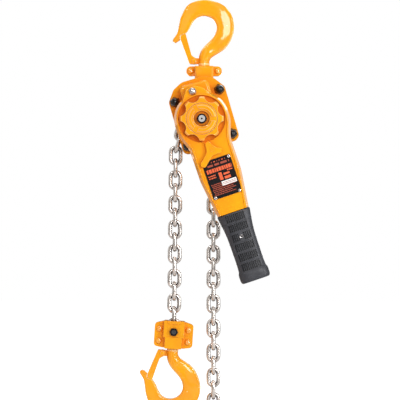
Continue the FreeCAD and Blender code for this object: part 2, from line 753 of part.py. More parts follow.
def build_bottom(rivet_steps):
    seat = seat_of("chain_pin_x", "chain_pin_z", "bottom_tilt")
    yoke = Piece("bottom_yoke_front", seat)
    flange = [
        ("-33.0", "-25.5", "6"), ("-18", "-28", "8"), ("18", "-28", "8"), ("33.0", "-25.5", "6"),
        ("33.0", "13.5", "6"), ("15", "18.6", "10"), ("-15", "18.6", "10"), ("-33.0", "13.5", "6"),
    ]
    yoke.slab("0", "-yoke_flange", flange)
    upper = [
        ("-17.5", "-10", "1"), ("17.5", "-10", "1"), ("17.5", "18.6", "1"), ("-17.5", "18.6", "1"),
    ]
    yoke.slab("0", "-yoke_half_depth", upper)
    low = "-bottom_mouth"
    lower = [("-14.6", low, "2"), ("14.6", low, "2"), ("14.6", "-9", "2"), ("-14.6", "-9", "2")]
    yoke.slab("0", "-yoke_half_depth-1.0", lower)
    yoke.eased("Fillet", "0.9", lambda p: p.y < -size("yoke_half_depth") - 0.9)
    lip = [
        ("-10.5", "13.6", "1.4"), ("10.5", "13.6", "1.4"), ("10.5", "18", "1.4"), ("-10.5", "18", "1.4"),
    ]
    yoke.slab("-yoke_half_depth+2", "-yoke_half_depth-1.4", lip)
    slot = [
        ("-10", "-12.3"), ("10", "-12.3"), ("15", "0"), ("15", "20"), ("-15", "20"), ("-15", "0"),
    ]
    yoke.cut("-(wire_radius+0.6)", "0", slot)
    throat = [("-7.5", "8.2"), ("7.5", "8.2"), ("7.5", "20"), ("-7.5", "20")]
    yoke.cut("-(link_half_width+0.6)", "0", throat)
    yoke.bored([
        ("0", "-bottom_mouth-2"), ("shank_radius+swivel_gap", "-bottom_mouth-2"),
        ("shank_radius+swivel_gap", "-bottom_mouth+collar_top-yoke_mouth-swivel_gap"),
        ("collar_radius+swivel_gap", "-bottom_mouth+collar_top-yoke_mouth-swivel_gap"),
        ("collar_radius+swivel_gap", "-bottom_mouth+collar_top-yoke_mouth+collar_thick+swivel_gap"),
        ("0", "-bottom_mouth+collar_top-yoke_mouth+collar_thick+swivel_gap"),
    ])
    places = [
        (x, z)
        for x in ("-bottom_rivet_x", "bottom_rivet_x")
        for z in ("bottom_rivet_high", "bottom_rivet_low")
    ]
    holes = [(x, z, "rivet_radius") for x, z in places]
    yoke.cut("-yoke_half_depth-1", "0", ("0", "0", "chain_pin_radius"), *holes)
    mirrored("bottom_yoke_rear", yoke.body)
    group("bottom_yoke_rivets", places, rivet_steps, 12, seat)
    pin_steps = [
        ("-yoke_half_depth-5.5", "yoke_half_depth", "chain_pin_radius", "chain_pin_radius", 0),
        ("yoke_half_depth", "yoke_half_depth+4.0", "7.0", "6.4", 0),
    ]
    group("chain_pin", [("0", "0")], pin_steps, 0, seat)
    nut_steps = [("-yoke_half_depth-5.0", "-yoke_half_depth", "7.4", "7.4", 6)]
    group("chain_pin_nut", [("0", "0")], nut_steps, 6, seat, "chain_pin_radius")

    flip = Placement(Vector(0, 0, -size("bottom_mouth+yoke_mouth")), Rotation(Vector(1, 0, 0), 180))
    hung = placement_of(seat) * flip
    shaped("bottom_hook", hook_shape(), hung)
    for name in ("latch", "latch_pin", "latch_spring"):
        shaped("bottom_" + name, PIECES["top_" + name].Shape.copy(), hung)


def plate_outline(shrink=0.0):
    mid, half = "plate_mid", "plate_half_width"
    corners = [
        (mid + "-" + half, "plate_low", "10"), (mid + "+" + half, "plate_low", "10"),
        (mid + "+" + half, "plate_side_top", "10"),
        (mid + "+plate_shoulder_x", "plate_shoulder_z", "12"),
        (mid + "+plate_crown_x", "plate_crown_z", "20"),
        (mid + "-plate_crown_x", "plate_crown_z", "20"),
        (mid + "-plate_shoulder_x", "plate_shoulder_z", "12"),
        (mid + "-" + half, "plate_side_top", "10"),
    ]
    return inset(corners, shrink) if shrink else corners


STAYS = [
    ("plate_mid" + side + "stay_half_pitch", height)
    for side in "-+"
    for height in ("stay_low", "stay_high")
]
PAWL_PINS = [("-11.5", "49.0"), ("8.5", "49.0")]


def build_housing():
    drop_x, drop_z = -size("wheel_x"), size("top_pin_z-wheel_z")
    lean = math.radians(size("housing_tilt"))
    pin_x = drop_x * math.cos(lean) + drop_z * math.sin(lean)
    pin_z = -drop_x * math.sin(lean) + drop_z * math.cos(lean)
    stay_holes = [(x, z, "stay_radius") for x, z in STAYS]
    common = stay_holes + [("0", "0", "bearing_radius"), (pin_x, pin_z, "top_pin_radius")]
    pawl_holes = [(x, z, "pawl_pin_radius") for x, z in PAWL_PINS]
    axles = [("0", "gear_offset"), ("0", "-gear_offset")]
    axle_holes = [(x, z, "axle_radius+running_gap") for x, z in axles]

    front = Piece("front_side_plate", HOUSING)
    front.slab("-plate_inner", "-plate_outer", plate_outline())
    front.cut("-plate_outer", "-plate_inner", *common, *pawl_holes)
    rear = Piece("rear_side_plate", HOUSING)
    rear.slab("plate_outer", "plate_inner", plate_outline())
    rear.cut("plate_inner", "plate_outer", *common, *axle_holes)

    bolt = [("-33.0", "31.5", "stay_radius", "stay_radius")]
    group("stay_bolts", STAYS, bolt, 0, HOUSING)
    sleeve = [("-plate_inner", "plate_inner", "sleeve_radius", "sleeve_radius")]
    group("stay_sleeves", STAYS[1:], sleeve, 0, HOUSING, "stay_radius")
    roller = [("-plate_inner", "plate_inner", "roller_radius", "roller_radius")]
    group("guide_roller", STAYS[:1], roller, 0, HOUSING, "stay_radius")
    dome = [
        ("-30.5", "-cover_flange", "8.6", "8.6", 6),
        ("-34.0", "-30.5", "6.2", "7.4", 12),
        ("-36.6", "-34.0", "3.0", "6.2", 12),
    ]
    group("dome_nuts", STAYS, dome, 6, HOUSING, "stay_radius", "-33.0")
    flat = [("25.0", "31.0", "7.4", "7.4", 6)]
    group("gear_case_nuts", STAYS, flat, 6, HOUSING, "stay_radius")

    case = Piece("gear_case", HOUSING)
    outline = [
        ("-18", "-48", "12"), ("24", "-48", "12"), ("44", "-14", "14"), ("44", "14", "14"),
        ("24", "48", "12"), ("-18", "48", "12"), ("-37", "6", "14"), ("-37", "-6", "14"),
    ]
    case.slab("25.0", "plate_outer", plate_outline(1.0))
    case.slab("case_back", "24.0", outline)
    case.eased("Fillet", "4", lambda p: p.y > size("case_back") - 0.1)
    case.cut("plate_outer", "case_back-case_wall", inset(outline, size("case_wall")))
    bosses = [(x, z, "8.0") for x, z in axles + [("0", "0")]]
    case.slab("case_back-1", "first_stage_back+1", *bosses)
    case.cut("plate_outer", "case_back-case_wall", *axle_holes, ("0", "0", "5.0+running_gap"))
    case.cut("plate_outer", "30.0", *stay_holes)

    journal = rod("journal_radius+running_gap", "-50", "50")
    rings = [
        rod("bearing_radius", "plate_inner", "plate_outer").cut(journal),
        rod("bearing_radius", "-plate_outer", "-plate_inner").cut(journal),
    ]
    shaped("sheave_bearings", Part.makeCompound(rings), placement_of(HOUSING))

    stripper = Piece("chain_stripper", HOUSING)
    block = [("-22", "-46.5", "2"), ("-6", "-46.5", "2"), ("-6", "-34", "2"), ("-22", "-34", "2")]
    stripper.slab("plate_inner", "-plate_inner", block)
    tongue = [("-18", "-36"), ("-7.5", "-36"), ("-7.5", "-19", "2"), ("-14", "-19", "2")]
    stripper.slab("chain_groove-0.5", "-chain_groove+0.5", tongue)

    cover = Piece("brake_cover", HOUSING)
    cover.slab("-plate_outer", "-cover_flange", plate_outline())
    plateau = [
        ("-16", "-44", "20"), ("24", "-44", "20"), ("44", "-12", "14"), ("44", "22", "14"),
        ("28.5", "36", "8"), ("28.5", "63.5", "8"), ("-21.5", "63.5", "8"), ("-21.5", "36", "8"),
        ("-38", "22", "14"), ("-38", "-12", "14"),
    ]
    cover.slab("-plate_outer", "-cover_front", plateau)
    cover.eased("Fillet", "5.0", lambda p: p.y < -size("cover_front") + 0.1)
    cover.cut("-cover_front+cover_wall", "-plate_outer", inset(plateau, size("cover_wall")))
    cover.cut("-cover_front", "-plate_outer", ("0", "0", "neck_radius+0.7"), *stay_holes)

    pins = [("-cover_front+cover_wall", "-plate_inner", "pawl_pin_radius", "pawl_pin_radius")]
    group("pawl_pins", PAWL_PINS, pins, 0, HOUSING)


def involute(angle):
    return math.tan(angle) - angle


def gear_outline(teeth, shift, tooth_angle):
    """The corners of an involute gear; one tooth is centred on the angle."""
    module = size("gear_module")
    pitch = module * teeth / 2
    base = pitch * math.cos(math.radians(20))
    tip = pitch + module * (1 + shift)
    root = pitch + module * (shift - 1.25)
    half = (math.pi / 2 + 2 * shift * math.tan(math.radians(20))) / teeth
    half += involute(math.radians(20)) - size("tooth_backlash") / 4 / pitch
    flank = [max(base, root + 0.1), (max(base, root) + tip) / 2, tip]
    corners = []
    for k in range(teeth):
        middle = math.radians(tooth_angle) + 2 * math.pi * k / teeth
        rise = [(r, half - involute(math.acos(min(base / r, 1)))) for r in flank]
        rise.insert(0, (root, rise[0][1] + 0.02))
        for radius, lag in rise:
            corners.append(polar(radius, math.degrees(middle - lag)))
        for radius, lag in reversed(rise):
            corners.append(polar(radius, math.degrees(middle + lag)))
    return corners


def block_of(corners, front, back):
    """A prism along Y between two depths."""
    front, back = size(front), size(back)
    loop = [Vector(c.x, front, c.z) for c in corners]
    face = Part.Face(Part.makePolygon(loop + loop[:1]))
    return face.extrude(Vector(0, back - front, 0))


def build_gears():
    pinion_teeth, gear_teeth = int(size("pinion_teeth")), int(size("gear_teeth"))
    shift = size("tooth_shift")
    half_pitch = 180.0 / gear_teeth
    first = ("first_stage_front", "first_stage_back")
    second = ("second_stage_front", "second_stage_back")
    load = block_of(gear_outline(gear_teeth, -shift, 90 + half_pitch), *second)
    load = load.cut(rod("spline_radius", *second))
    shaped("load_gear", load, placement_of(HOUSING))
    for name, side, facing in (("upper", 1, 270), ("lower", -1, 90)):
        large = block_of(gear_outline(gear_teeth, -shift, facing + half_pitch), *first)
        small = block_of(gear_outline(pinion_teeth, shift, facing), *second)
        axle = rod("axle_radius", "plate_inner+0.2", "case_back-case_wall-0.2")
        spacer = rod("5.4", "second_stage_back-0.5", "first_stage_front+0.5")
        whole = large.fuse([small, axle, spacer])
        offset = Placement(Vector(0, 0, side * size("gear_offset")), Rotation())
        shaped("second_gear_" + name, whole, placement_of(HOUSING) * offset)
    teeth = block_of(gear_outline(pinion_teeth, shift, 90), *first)
    shaft = teeth.fuse([
        rod("shaft_radius", "-97", first[0] + "+1"),
        rod("5.0", first[1] + "-1", "52"),
    ])
    shaped("pinion_shaft", shaft, placement_of(HOUSING))

    sheave = Piece("load_sheave", WHEEL)
    bore, core, rim = "shaft_radius+running_gap", "sheave_core", "sheave_rim"
    wide, groove = "sheave_half_width", "chain_groove"
    sheave.turned([
        (bore, "-plate_outer"), ("journal_radius", "-plate_outer"), ("journal_radius", "-" + wide),
        (rim, "-" + wide), (rim, "-" + groove), (core, "-" + groove), (core, groove),
        (rim, groove), (rim, wide), ("journal_radius", wide), ("journal_radius", "plate_outer"),
        ("spline_radius", "plate_outer"), ("spline_radius", "second_stage_back"),
        (bore, "second_stage_back"),
    ])
    long = "link_half_inner+2*wire_radius+pocket_play"
    broad = "link_half_width+pocket_play"
    corner = "pocket_corner"
    sketch = sheave.sketch("XY_Plane", "pocket_floor")
    draw_outline(sketch, [
        ("-(%s)" % long, "-(%s)" % broad, corner), (long, "-(%s)" % broad, corner),
        (long, broad, corner), ("-(%s)" % long, broad, corner),
    ])
    pocket = sheave.feature("PartDesign::Pocket", "pocket")
    pocket.Profile = sketch
    pocket.Reversed = True
    pocket.setExpression("Length", bound("sheave_rim-pocket_floor+2"))
    sheave.around(pocket, "4")


def build_brake():
    hub = Piece("brake_hub", HOUSING)
    shaft, boss, disc = "shaft_radius", "15.9", "brake_disc_radius"
    hub.turned([
        (shaft, "-37.5"), (boss, "-37.5"), (boss, "-27.5"), (disc, "-27.5"), (disc, "-22.0"),
        (shaft, "-22.0"),
    ])
    inside = rod(boss, "-50", "0")
    discs = [rod(disc, "-30.0", "-27.5").cut(inside), rod(disc, "-37.5", "-35.0").cut(inside)]
    shaped("friction_discs", Part.makeCompound(discs), placement_of(HOUSING))

    count, phase = int(size("ratchet_teeth")), size("ratchet_phase")
    corners = []
    for k in range(count):
        face = phase + 360.0 * k / count
        corners.append(polar(size("ratchet_tip"), face))
        corners.append(polar(size("ratchet_root"), face - 0.6))
    wheel = block_of(corners, "-35.0+running_gap", "-30.0-running_gap")
    wheel = wheel.cut(rod("15.9+running_gap", "-36", "-29"))
    shaped("ratchet_disc", wheel, placement_of(HOUSING))

    nut = Piece("drive_nut", HOUSING)
    nut.turned([
        (shaft, "-60"), ("change_radius-3.6", "-60"), ("change_radius-3.6", "-52"),
        ("neck_radius", "-52"), ("neck_radius", "-41.5"), (disc, "-41.5"), (disc, "-37.5"),
        (shaft, "-37.5"),
    ])
    lobe = [("-2.6", "15"), ("2.6", "15"), ("2.0", "change_radius"), ("-2.0", "change_radius")]
    tooth = nut.slab("-52", "-60", lobe)
    nut.around(tooth, "change_teeth")

    eye = ("pawl_pin_radius+running_gap",)
    left = Piece("brake_pawl_left", HOUSING)
    arm = [("-15.5", "46.0"), ("-3.0", "33.6"), ("1.9", "30.95"), ("2.1", "34.0"), ("-7.5", "52.0")]
    left.slab("-30.1", "-34.9", arm)
    left.slab("-30.1", "-34.9", PAWL_PINS[0] + ("5.0",))
    left.cut("-35.0", "-30.0", PAWL_PINS[0] + eye)
    right = Piece("brake_pawl_right", HOUSING)
    arm = [("4.0", "46.9"), ("12.0", "32.6"), ("17.17", "25.75"), ("18.98", "28.45"), ("13.0", "51.1")]
    right.slab("-30.1", "-34.9", arm)
    right.slab("-30.1", "-34.9", PAWL_PINS[1] + ("5.0",))
    right.cut("-35.0", "-30.0", PAWL_PINS[1] + eye)


def build_knob():
    seat = seat_of("wheel_x", "wheel_z", "0")
    knob = Piece("hand_wheel", seat)
    bore, edge = "shaft_radius+running_gap", "knob_radius"
    face, cap = "-knob_face", "-knob_face-cap_rise"
    knob.turned([
        (bore, "-77.5"), ("14", "-77.5"), ("14", "-75.5"), (edge + "-1", "-75.5"), (edge, "-76.5"),
        (edge, "-88.5"), (edge + "-2.5", face), ("26.6", face), ("26.6", "-89.8"), ("25.6", "-89.8"),
        ("25.6", face), ("23", face), ("22", cap), ("17", cap), ("15.6", face),
        ("13", "-90"), ("11.5", "-84"), (bore, "-84"),
    ])
    turn = math.radians(22.5)
    reach = size("scallop_reach")
    scallop = (reach * math.cos(turn), reach * math.sin(turn), "scallop_radius")
    knob.around(knob.cut("-95", "-74", scallop), "scallops")
    notch = [
        ("15", "-cap_notch"), ("24", "-cap_notch"), ("24", "cap_notch"), ("15", "cap_notch"),
    ]
    knob.around(knob.cut(cap + "-1", face, notch), "cap_notches")
    nut = [("-96.0", "-90.5", "8.6", "8.6", 6)]
    group("shaft_nut", [("0", "0")], nut, 6, seat, "shaft_radius")


def lever_outline(end):
    """The lever from above its tail, with the head round the wheel's axis."""
    return [
        ("-neck_end_half_width", "-(%s)" % end), ("neck_end_half_width", "-(%s)" % end),
        ("neck_half_width", "-100", "60"), ("neck_half_width", "-44", "45"),
        ("head_radius", "-16", "45"), ("head_radius", "head_radius", "head_radius-0.3"),
        ("-head_radius", "head_radius", "head_radius-0.3"), ("-head_radius", "-16", "45"),
        ("-neck_half_width", "-44", "45"), ("-neck_half_width", "-100", "60"),
    ]


def grip_slots():
    """The rows of short slots that both broad faces of the rubber have; two give way to the pin."""
    wide, long, pitch = size("slot_width"), size("slot_length"), size("slot_pitch")
    columns, deep = int(size("slot_columns")), 6.0
    slots = []
    for row in range(int(size("slot_rows"))):
        reach = size("slot_first_row") + size("slot_row_pitch") * row
        meets_pin = abs(reach - size("grip_pin_reach")) < long / 2
        for column in range(columns):
            x = pitch * (column - (columns - 1) / 2)
            if meets_pin and abs(x) < pitch:
                continue
            for floor in (-size("slot_floor") - deep, size("slot_floor")):
                low = Vector(x - wide / 2, floor - size("lever_split"), -reach - long / 2)
                slots.append(Part.makeBox(wide, deep, long, low))
    return slots


def build_lever():
    outline = lever_outline("neck_end")
    ear_top, ear = "ear_reach+ear_radius", "ear_radius"
    lug = [
        ("-30", "28"), ("33", "28"), ("20", "49.5", "14"), (ear, ear_top, "7"),
        ("-" + ear, ear_top, "7"), ("-21", "41", "30"),
    ]
    bolt_hole = ("0", "ear_reach", "3.0")
    half = "tail_half_width"
    rear = Piece("lever_rear_shell", LEVER)
    rear.slab("-lever_back", "-lever_split", outline)
    rear.slab("-lever_back", "-lever_split", lug)
    rear.cut("-lever_split", "-lever_back-lever_wall", inset(outline, size("lever_wall")))
    bar_back, bar_front = "-lever_split+tail_half_depth", "-lever_split-tail_half_depth"
    root = [
        ("-" + half, "-neck_end+1"), (half, "-neck_end+1"), (half, "-130"), ("-" + half, "-130"),
    ]
    rear.slab("-lever_back-2", bar_front, root)
    tail = [
        ("-" + half, "-275", "3"), (half, "-275", "3"), (half, "-150"), ("-" + half, "-150"),
    ]
    rear.slab(bar_back, bar_front, tail)
    rear.slab("-lever_back-2", "-lever_split", ("0", "ear_reach", "6"))
    rear.cut("-lever_split", "-lever_back", ("0", "0", "neck_radius+running_gap"), bolt_hole)
    rear.cut(bar_front, bar_back, ("0", "-grip_pin_reach", "2.5"))

    front = Piece("lever_front_shell", LEVER)
    long = lever_outline("neck_end+12")
    front.slab("-lever_split", "-lever_front", long, taper="-14")
    front.slab("-lever_split", "-lever_front", lug, taper="-6")
    front.eased("Fillet", "1.6", lambda p: p.y < -size("lever_front") + 0.1)
    front.slab("-lever_front+1", "-lever_front-rim_rise", inset(long, 4.4), inset(long, 6.9))
    front.eased("Fillet", "0.7", lambda p: p.y < -size("lever_front+rim_rise") + 0.1)
    front.cut("-lever_front-rim_rise-1", "-lever_split", [
        ("-40", "-neck_end-20"), ("40", "-neck_end-20"), ("40", "-neck_end"), ("-40", "-neck_end"),
    ])
    front.cut("-lever_front-rim_rise", "-73", ("0", "0", "knob_recess"))
    front.cut("-70", "-lever_split", inset(outline, 7.0))
    front.slab("-lever_split", "-72", ("0", "ear_reach", "6"))
    slide = half + "+running_gap"
    front.cut(bar_front + "-running_gap", "-lever_split", [
        ("-(%s)" % slide, "-neck_end-3"), (slide, "-neck_end-3"),
        (slide, "-129.5"), ("-(%s)" % slide, "-129.5"),
    ])
    spindle = ("0", "-selector_pivot", "4.0+running_gap")
    plate_rivets = [("22.3", "-73.5"), ("21.6", "-133.7"), ("-20.5", "-133.3")]
    rivet_holes = [(x, z, "1.5") for x, z in plate_rivets]
    front.cut("-lever_front", "-lever_split", ("0", "0", "8"), spindle, bolt_hole, *rivet_holes)
    bolt = [("-82", "-lever_back", "3.0", "3.0")]
    group("lever_bolt", [("0", "ear_reach")], bolt, 0, LEVER)
    dome = [("-81.5", "-lever_front", "6.2", "6.2", 6), ("-84.5", "-81.5", "3.0", "5.4", 12)]
    group("lever_dome_nut", [("0", "ear_reach")], dome, 6, LEVER, "3.0", "-82")

    plate = Piece("name_plate", LEVER)
    sheet_outline = [
        ("-24.3", "-136", "1.5"), ("25.3", "-136", "1.5"), ("25.3", "-70", "1.5"),
        ("-8.7", "-70", "1.5"), ("-24.3", "-79", "1.5"),
    ]
    plate.slab("-lever_front", "-lever_front-1", sheet_outline)
    plate.cut("-lever_front-1", "-lever_front", *rivet_holes)
    rivets = [
        ("-lever_front-1.8", "-lever_front-1", "1.5", "2.6"),
        ("-lever_front-1", "-72", "1.5", "1.5"),
    ]
    group("plate_rivets", plate_rivets, rivets, 8, LEVER)

    reach, lean = size("selector_pivot"), math.radians(size("lever_tilt"))
    derive("selector_x", size("wheel_x") + reach * math.sin(lean))
    derive("selector_z", size("wheel_z") - reach * math.cos(lean))
    swing = seat_of("selector_x", "selector_z", "-lever_tilt+selector_swing")
    selector = Piece("selector_lever", swing)
    selector.slab("-80.1", "-84.6", [
        ("-5.2", "-34", "5.0"), ("5.2", "-34", "5.0"), ("5.4", "-9", "12"), ("15.6", "3.0", "2.5"),
        ("13.4", "10.0", "2.5"), ("0", "5.4", "20"), ("-13.4", "10.0", "2.5"), ("-15.6", "3.0", "2.5"),
        ("-5.4", "-9", "12"),
    ])
    selector.eased("Fillet", "1.4", lambda p: p.y < -84.5)
    lobe = selector.slab("-84", "-85.6", ("2.2", "0", "1.8"))
    selector.around(lobe, "4")
    selector.slab("-52.5", "-82", ("0", "0", "4.0"))

    inner = seat_of("selector_x", "selector_z", "-lever_tilt+16")
    pawl = Piece("change_over_pawl", inner)
    pawl.slab("-52.5", "-60", ("0", "0", "7.5"))
    for side in (-1, 1):
        angle = math.radians(90 - 24 * side)
        along = Vector(math.cos(angle), math.sin(angle), 0)
        across = Vector(-along.y, along.x, 0)
        tip, root = along * 32.4, along * 3.0
        horn = [root - across * 4.5, tip - across * 1.6, tip + across * 1.6, root + across * 4.5]
        pawl.slab("-52.5", "-60", [(c.x, c.y) for c in horn])
    pawl.cut("-60", "-52.5", ("0", "0", "4.0+running_gap"))

    grip_rows = [
        (164.5, 27.5, 13.6), (169.4, 28.5, 15.0), (178.0, 27.4, 14.8), (192.0, 24.8, 13.6),
        (206.0, 23.5, 13.0), (264.0, 23.0, 13.0), (269.0, 25.7, 15.0), (281.0, 25.7, 15.0),
        (285.0, 22.5, 12.0),
    ]
    sections = []
    for reach, wide, deep in grip_rows:
        corners = []
        for i in range(20):
            angle = 2 * math.pi * (i + 0.5) / 20
            x = wide * math.copysign(abs(math.cos(angle)) ** 0.6, math.cos(angle))
            y = deep * math.copysign(abs(math.sin(angle)) ** 0.6, math.sin(angle))
            corners.append(Vector(x, y - size("lever_split"), -reach))
        sections.append(Part.makePolygon(corners + corners[:1]))
    rubber = Part.makeLoft(sections, True, True)
    half, deep = size("tail_half_width"), size("tail_half_depth")
    corner = Vector(-half, -size("lever_split") - deep, -275.0)
    rubber = rubber.cut(Part.makeBox(2 * half, 2 * deep, 120, corner))
    rubber = rubber.cut(grip_slots())
    pin_front = Vector(0, -size("lever_split") - 20, -size("grip_pin_reach"))
    pin_hole = Part.makeCylinder(2.5, 40, pin_front, Vector(0, 1, 0))
    shaped("grip", rubber.cut(pin_hole), placement_of(LEVER))
    pin = [("-lever_split-12.6", "-lever_split+12.6", "2.5", "2.5")]
    group("grip_pin", [("0", "-grip_pin_reach")], pin, 0, LEVER)


def arc_from(start, along, end):
    """An arc from a point and its direction to another point."""
    chord = end - start
    aside = along - chord * (along.dot(chord) / chord.dot(chord))
    if aside.Length < 1e-6:
        return Part.LineSegment(start, end).toShape()
    rise = math.tan(along.getAngle(chord) / 2) * chord.Length / 2
    middle = start + chord * 0.5 + aside.normalize() * rise
    return Part.Arc(start, middle, end).toShape()


def two_arcs(start, along, end, towards):
    """Two tangent arcs that join two points in the given directions."""
    span, both = end - start, along + towards
    spread = 2 * (1 - along.dot(towards))
    reach = span.dot(both)
    step = (math.sqrt(reach**2 + spread * span.dot(span)) - reach) / spread
    meeting = (start + end + (along - towards) * step) * 0.5
    heading = meeting - start - along * step
    return [arc_from(start, along, meeting), arc_from(meeting, heading.normalize(), end)]


def wound(radius, wire, front, back, turns, leg=None):
    """A coil about Y between two depths, with a straight leg at its front where one is given."""
    def place(turn):
        angle = 2 * math.pi * turn
        depth = front + (back - front) * turn / turns
        return Vector(radius * math.cos(angle), depth, radius * math.sin(angle))

    def heading(turn):
        angle = 2 * math.pi * turn
        rise = (back - front) / turns / (2 * math.pi * radius)
        return Vector(-math.sin(angle), rise, math.cos(angle)).normalize()

    edges, points = [], []
    quarters = int(round(turns * 4))
    for k in range(quarters):
        edges += two_arcs(place(k / 4), heading(k / 4), place((k + 1) / 4), heading((k + 1) / 4))
    start, along = place(0), heading(0)
    if leg:
        start = place(0) - along * leg
        edges.insert(0, Part.LineSegment(start, place(0)).toShape())
    for edge in edges:
        points += edge.discretize(9)
    gap = min(
        (a - b).Length - 2 * wire
        for i, a in enumerate(points)
        for j, b in enumerate(points)
        if abs(i - j) > 4.5 * len(points) / len(edges)
    )
    print("least gap between turns %.2f mm" % gap)
    ring = Part.Wire(Part.makeCircle(wire, start, along))
    return Part.Wire(edges).makePipeShell([ring], True, False)


def build_springs():
    pivot = Placement(Vector(size("latch_pivot_x"), 0, size("latch_pivot_z")), Rotation())
    shaped("top_latch_spring", wound(3.5, 0.35, 4.2, 5.7, 1.25, 6.0), pivot)
    seat = placement_of(seat_of("wheel_x", "wheel_z", "0"))
    shaped("free_spring", wound(7.6, 0.5, -89.9, -84.6, 3.0), seat)


build_chain()
RIVET = build_top()
build_springs()
doc.recompute()
build_bottom(RIVET)
build_housing()
build_gears()
build_brake()
build_knob()
build_lever()
doc.recompute()

# Every piece has to be sound, and every cut has to take something away, before a file is written

for thing in doc.Objects:
    broken = [word for word in thing.State if word in ("Invalid", "Error")]
    if broken:
        raise RuntimeError("%s: %s" % (thing.Label, broken))

for thing in doc.Objects:
    if thing.TypeId in ("PartDesign::Pocket", "PartDesign::Groove"):
        before = thing.BaseFeature.Shape.Volume
        if before - thing.Shape.Volume < 0.5:
            raise RuntimeError("%s takes nothing away" % thing.Label)

for label, piece in PIECES.items():
    if piece.Shape.isNull() or not piece.Shape.isValid() or piece.Shape.Volume < 0.1:
        raise RuntimeError("%s has no sound shape" % label)

os.makedirs("parts", exist_ok=True)
for label, piece in PIECES.items():
    piece.Shape.exportStep("parts/%s.step" % label)
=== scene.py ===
import json
import math

import bmesh
import bpy
import numpy
from mathutils import Matrix, Vector


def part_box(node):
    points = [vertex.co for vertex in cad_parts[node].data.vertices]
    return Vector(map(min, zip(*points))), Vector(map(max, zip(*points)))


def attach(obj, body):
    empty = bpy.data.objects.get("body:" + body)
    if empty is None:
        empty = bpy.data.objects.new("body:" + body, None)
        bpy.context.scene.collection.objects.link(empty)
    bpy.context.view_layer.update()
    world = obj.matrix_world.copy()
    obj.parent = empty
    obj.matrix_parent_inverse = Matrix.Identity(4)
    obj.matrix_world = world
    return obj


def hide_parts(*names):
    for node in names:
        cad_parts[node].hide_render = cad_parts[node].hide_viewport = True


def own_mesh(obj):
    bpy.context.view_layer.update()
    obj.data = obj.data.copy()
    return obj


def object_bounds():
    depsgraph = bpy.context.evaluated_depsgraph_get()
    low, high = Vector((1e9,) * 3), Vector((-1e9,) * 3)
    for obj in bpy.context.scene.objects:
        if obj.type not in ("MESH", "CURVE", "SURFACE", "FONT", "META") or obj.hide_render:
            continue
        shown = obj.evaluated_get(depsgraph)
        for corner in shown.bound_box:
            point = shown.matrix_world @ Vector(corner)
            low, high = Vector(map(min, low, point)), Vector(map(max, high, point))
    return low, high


# A lever chain hoist that hangs from its top hook, with its finish. The scene is in metres, with X to
# the right, Y into the scene and Z up. A piece's own sizes are in millimetres, which MM turns into
# metres, and angles are in degrees.

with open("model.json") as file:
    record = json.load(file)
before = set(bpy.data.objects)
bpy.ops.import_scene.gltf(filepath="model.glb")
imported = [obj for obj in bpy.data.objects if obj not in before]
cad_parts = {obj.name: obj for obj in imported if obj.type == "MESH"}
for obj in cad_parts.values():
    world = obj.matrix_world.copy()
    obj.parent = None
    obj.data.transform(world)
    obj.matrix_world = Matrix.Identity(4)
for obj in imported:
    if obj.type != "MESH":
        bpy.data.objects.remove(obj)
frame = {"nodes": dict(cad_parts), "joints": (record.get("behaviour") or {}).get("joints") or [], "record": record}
nodes = frame["nodes"]
joints = {joint["name"]: joint for joint in frame["joints"]}
cad_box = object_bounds()

BODY_OF = {
    node: body
    for body, members in frame["record"]["behaviour"]["bodies"].items()
    for node in members
}
SLOT_OF = {part["node"]: part["material_slot"] for part in frame["record"]["subparts"]}

MM = 0.001
HOUSING_LEAN = -16.3
LEVER_LEAN = -18.7


def seat_at(joint, lean):
    """A place on a joint's axis, in millimetres, that is turned about Y by some degrees."""
    place = Matrix.Translation(Vector(joints[joint]["pos_m"]))
    return place @ Matrix.Rotation(math.radians(lean), 4, "Y") @ Matrix.Scale(MM, 4)


LEVER = seat_at("lever_swing", LEVER_LEAN)


# Materials

class Graph:
    """A node tree with short ways to add to it."""

    def __init__(self, tree):
        self.tree = tree

    def node(self, kind, **values):
        """A node whose sockets and settings are given by name."""
        made = self.tree.nodes.new(kind)
        for key, value in values.items():
            socket = made.inputs.get(key.replace("_", " "))
            if socket is not None:
                socket.default_value = value
            else:
                setattr(made, key, value)
        return made

    def link(self, source, target):
        self.tree.links.new(source, target)

    def feed(self, sockets, values):
        """Each socket set to its value, or linked where the value is another socket."""
        for socket, value in zip(sockets, values):
            if isinstance(value, (int, float, tuple)):
                socket.default_value = value
            else:
                self.link(value, socket)

    def mix(self, share, first, second):
        """One colour over another by a share."""
        mix = self.node("ShaderNodeMix", data_type="RGBA")
        self.feed([socket for socket in mix.inputs if socket.enabled], (share, first, second))
        return [socket for socket in mix.outputs if socket.enabled][0]

    def math(self, operation, *values):
        made = self.node("ShaderNodeMath", operation=operation)
        self.feed(made.inputs, values)
        return made.outputs["Value"]


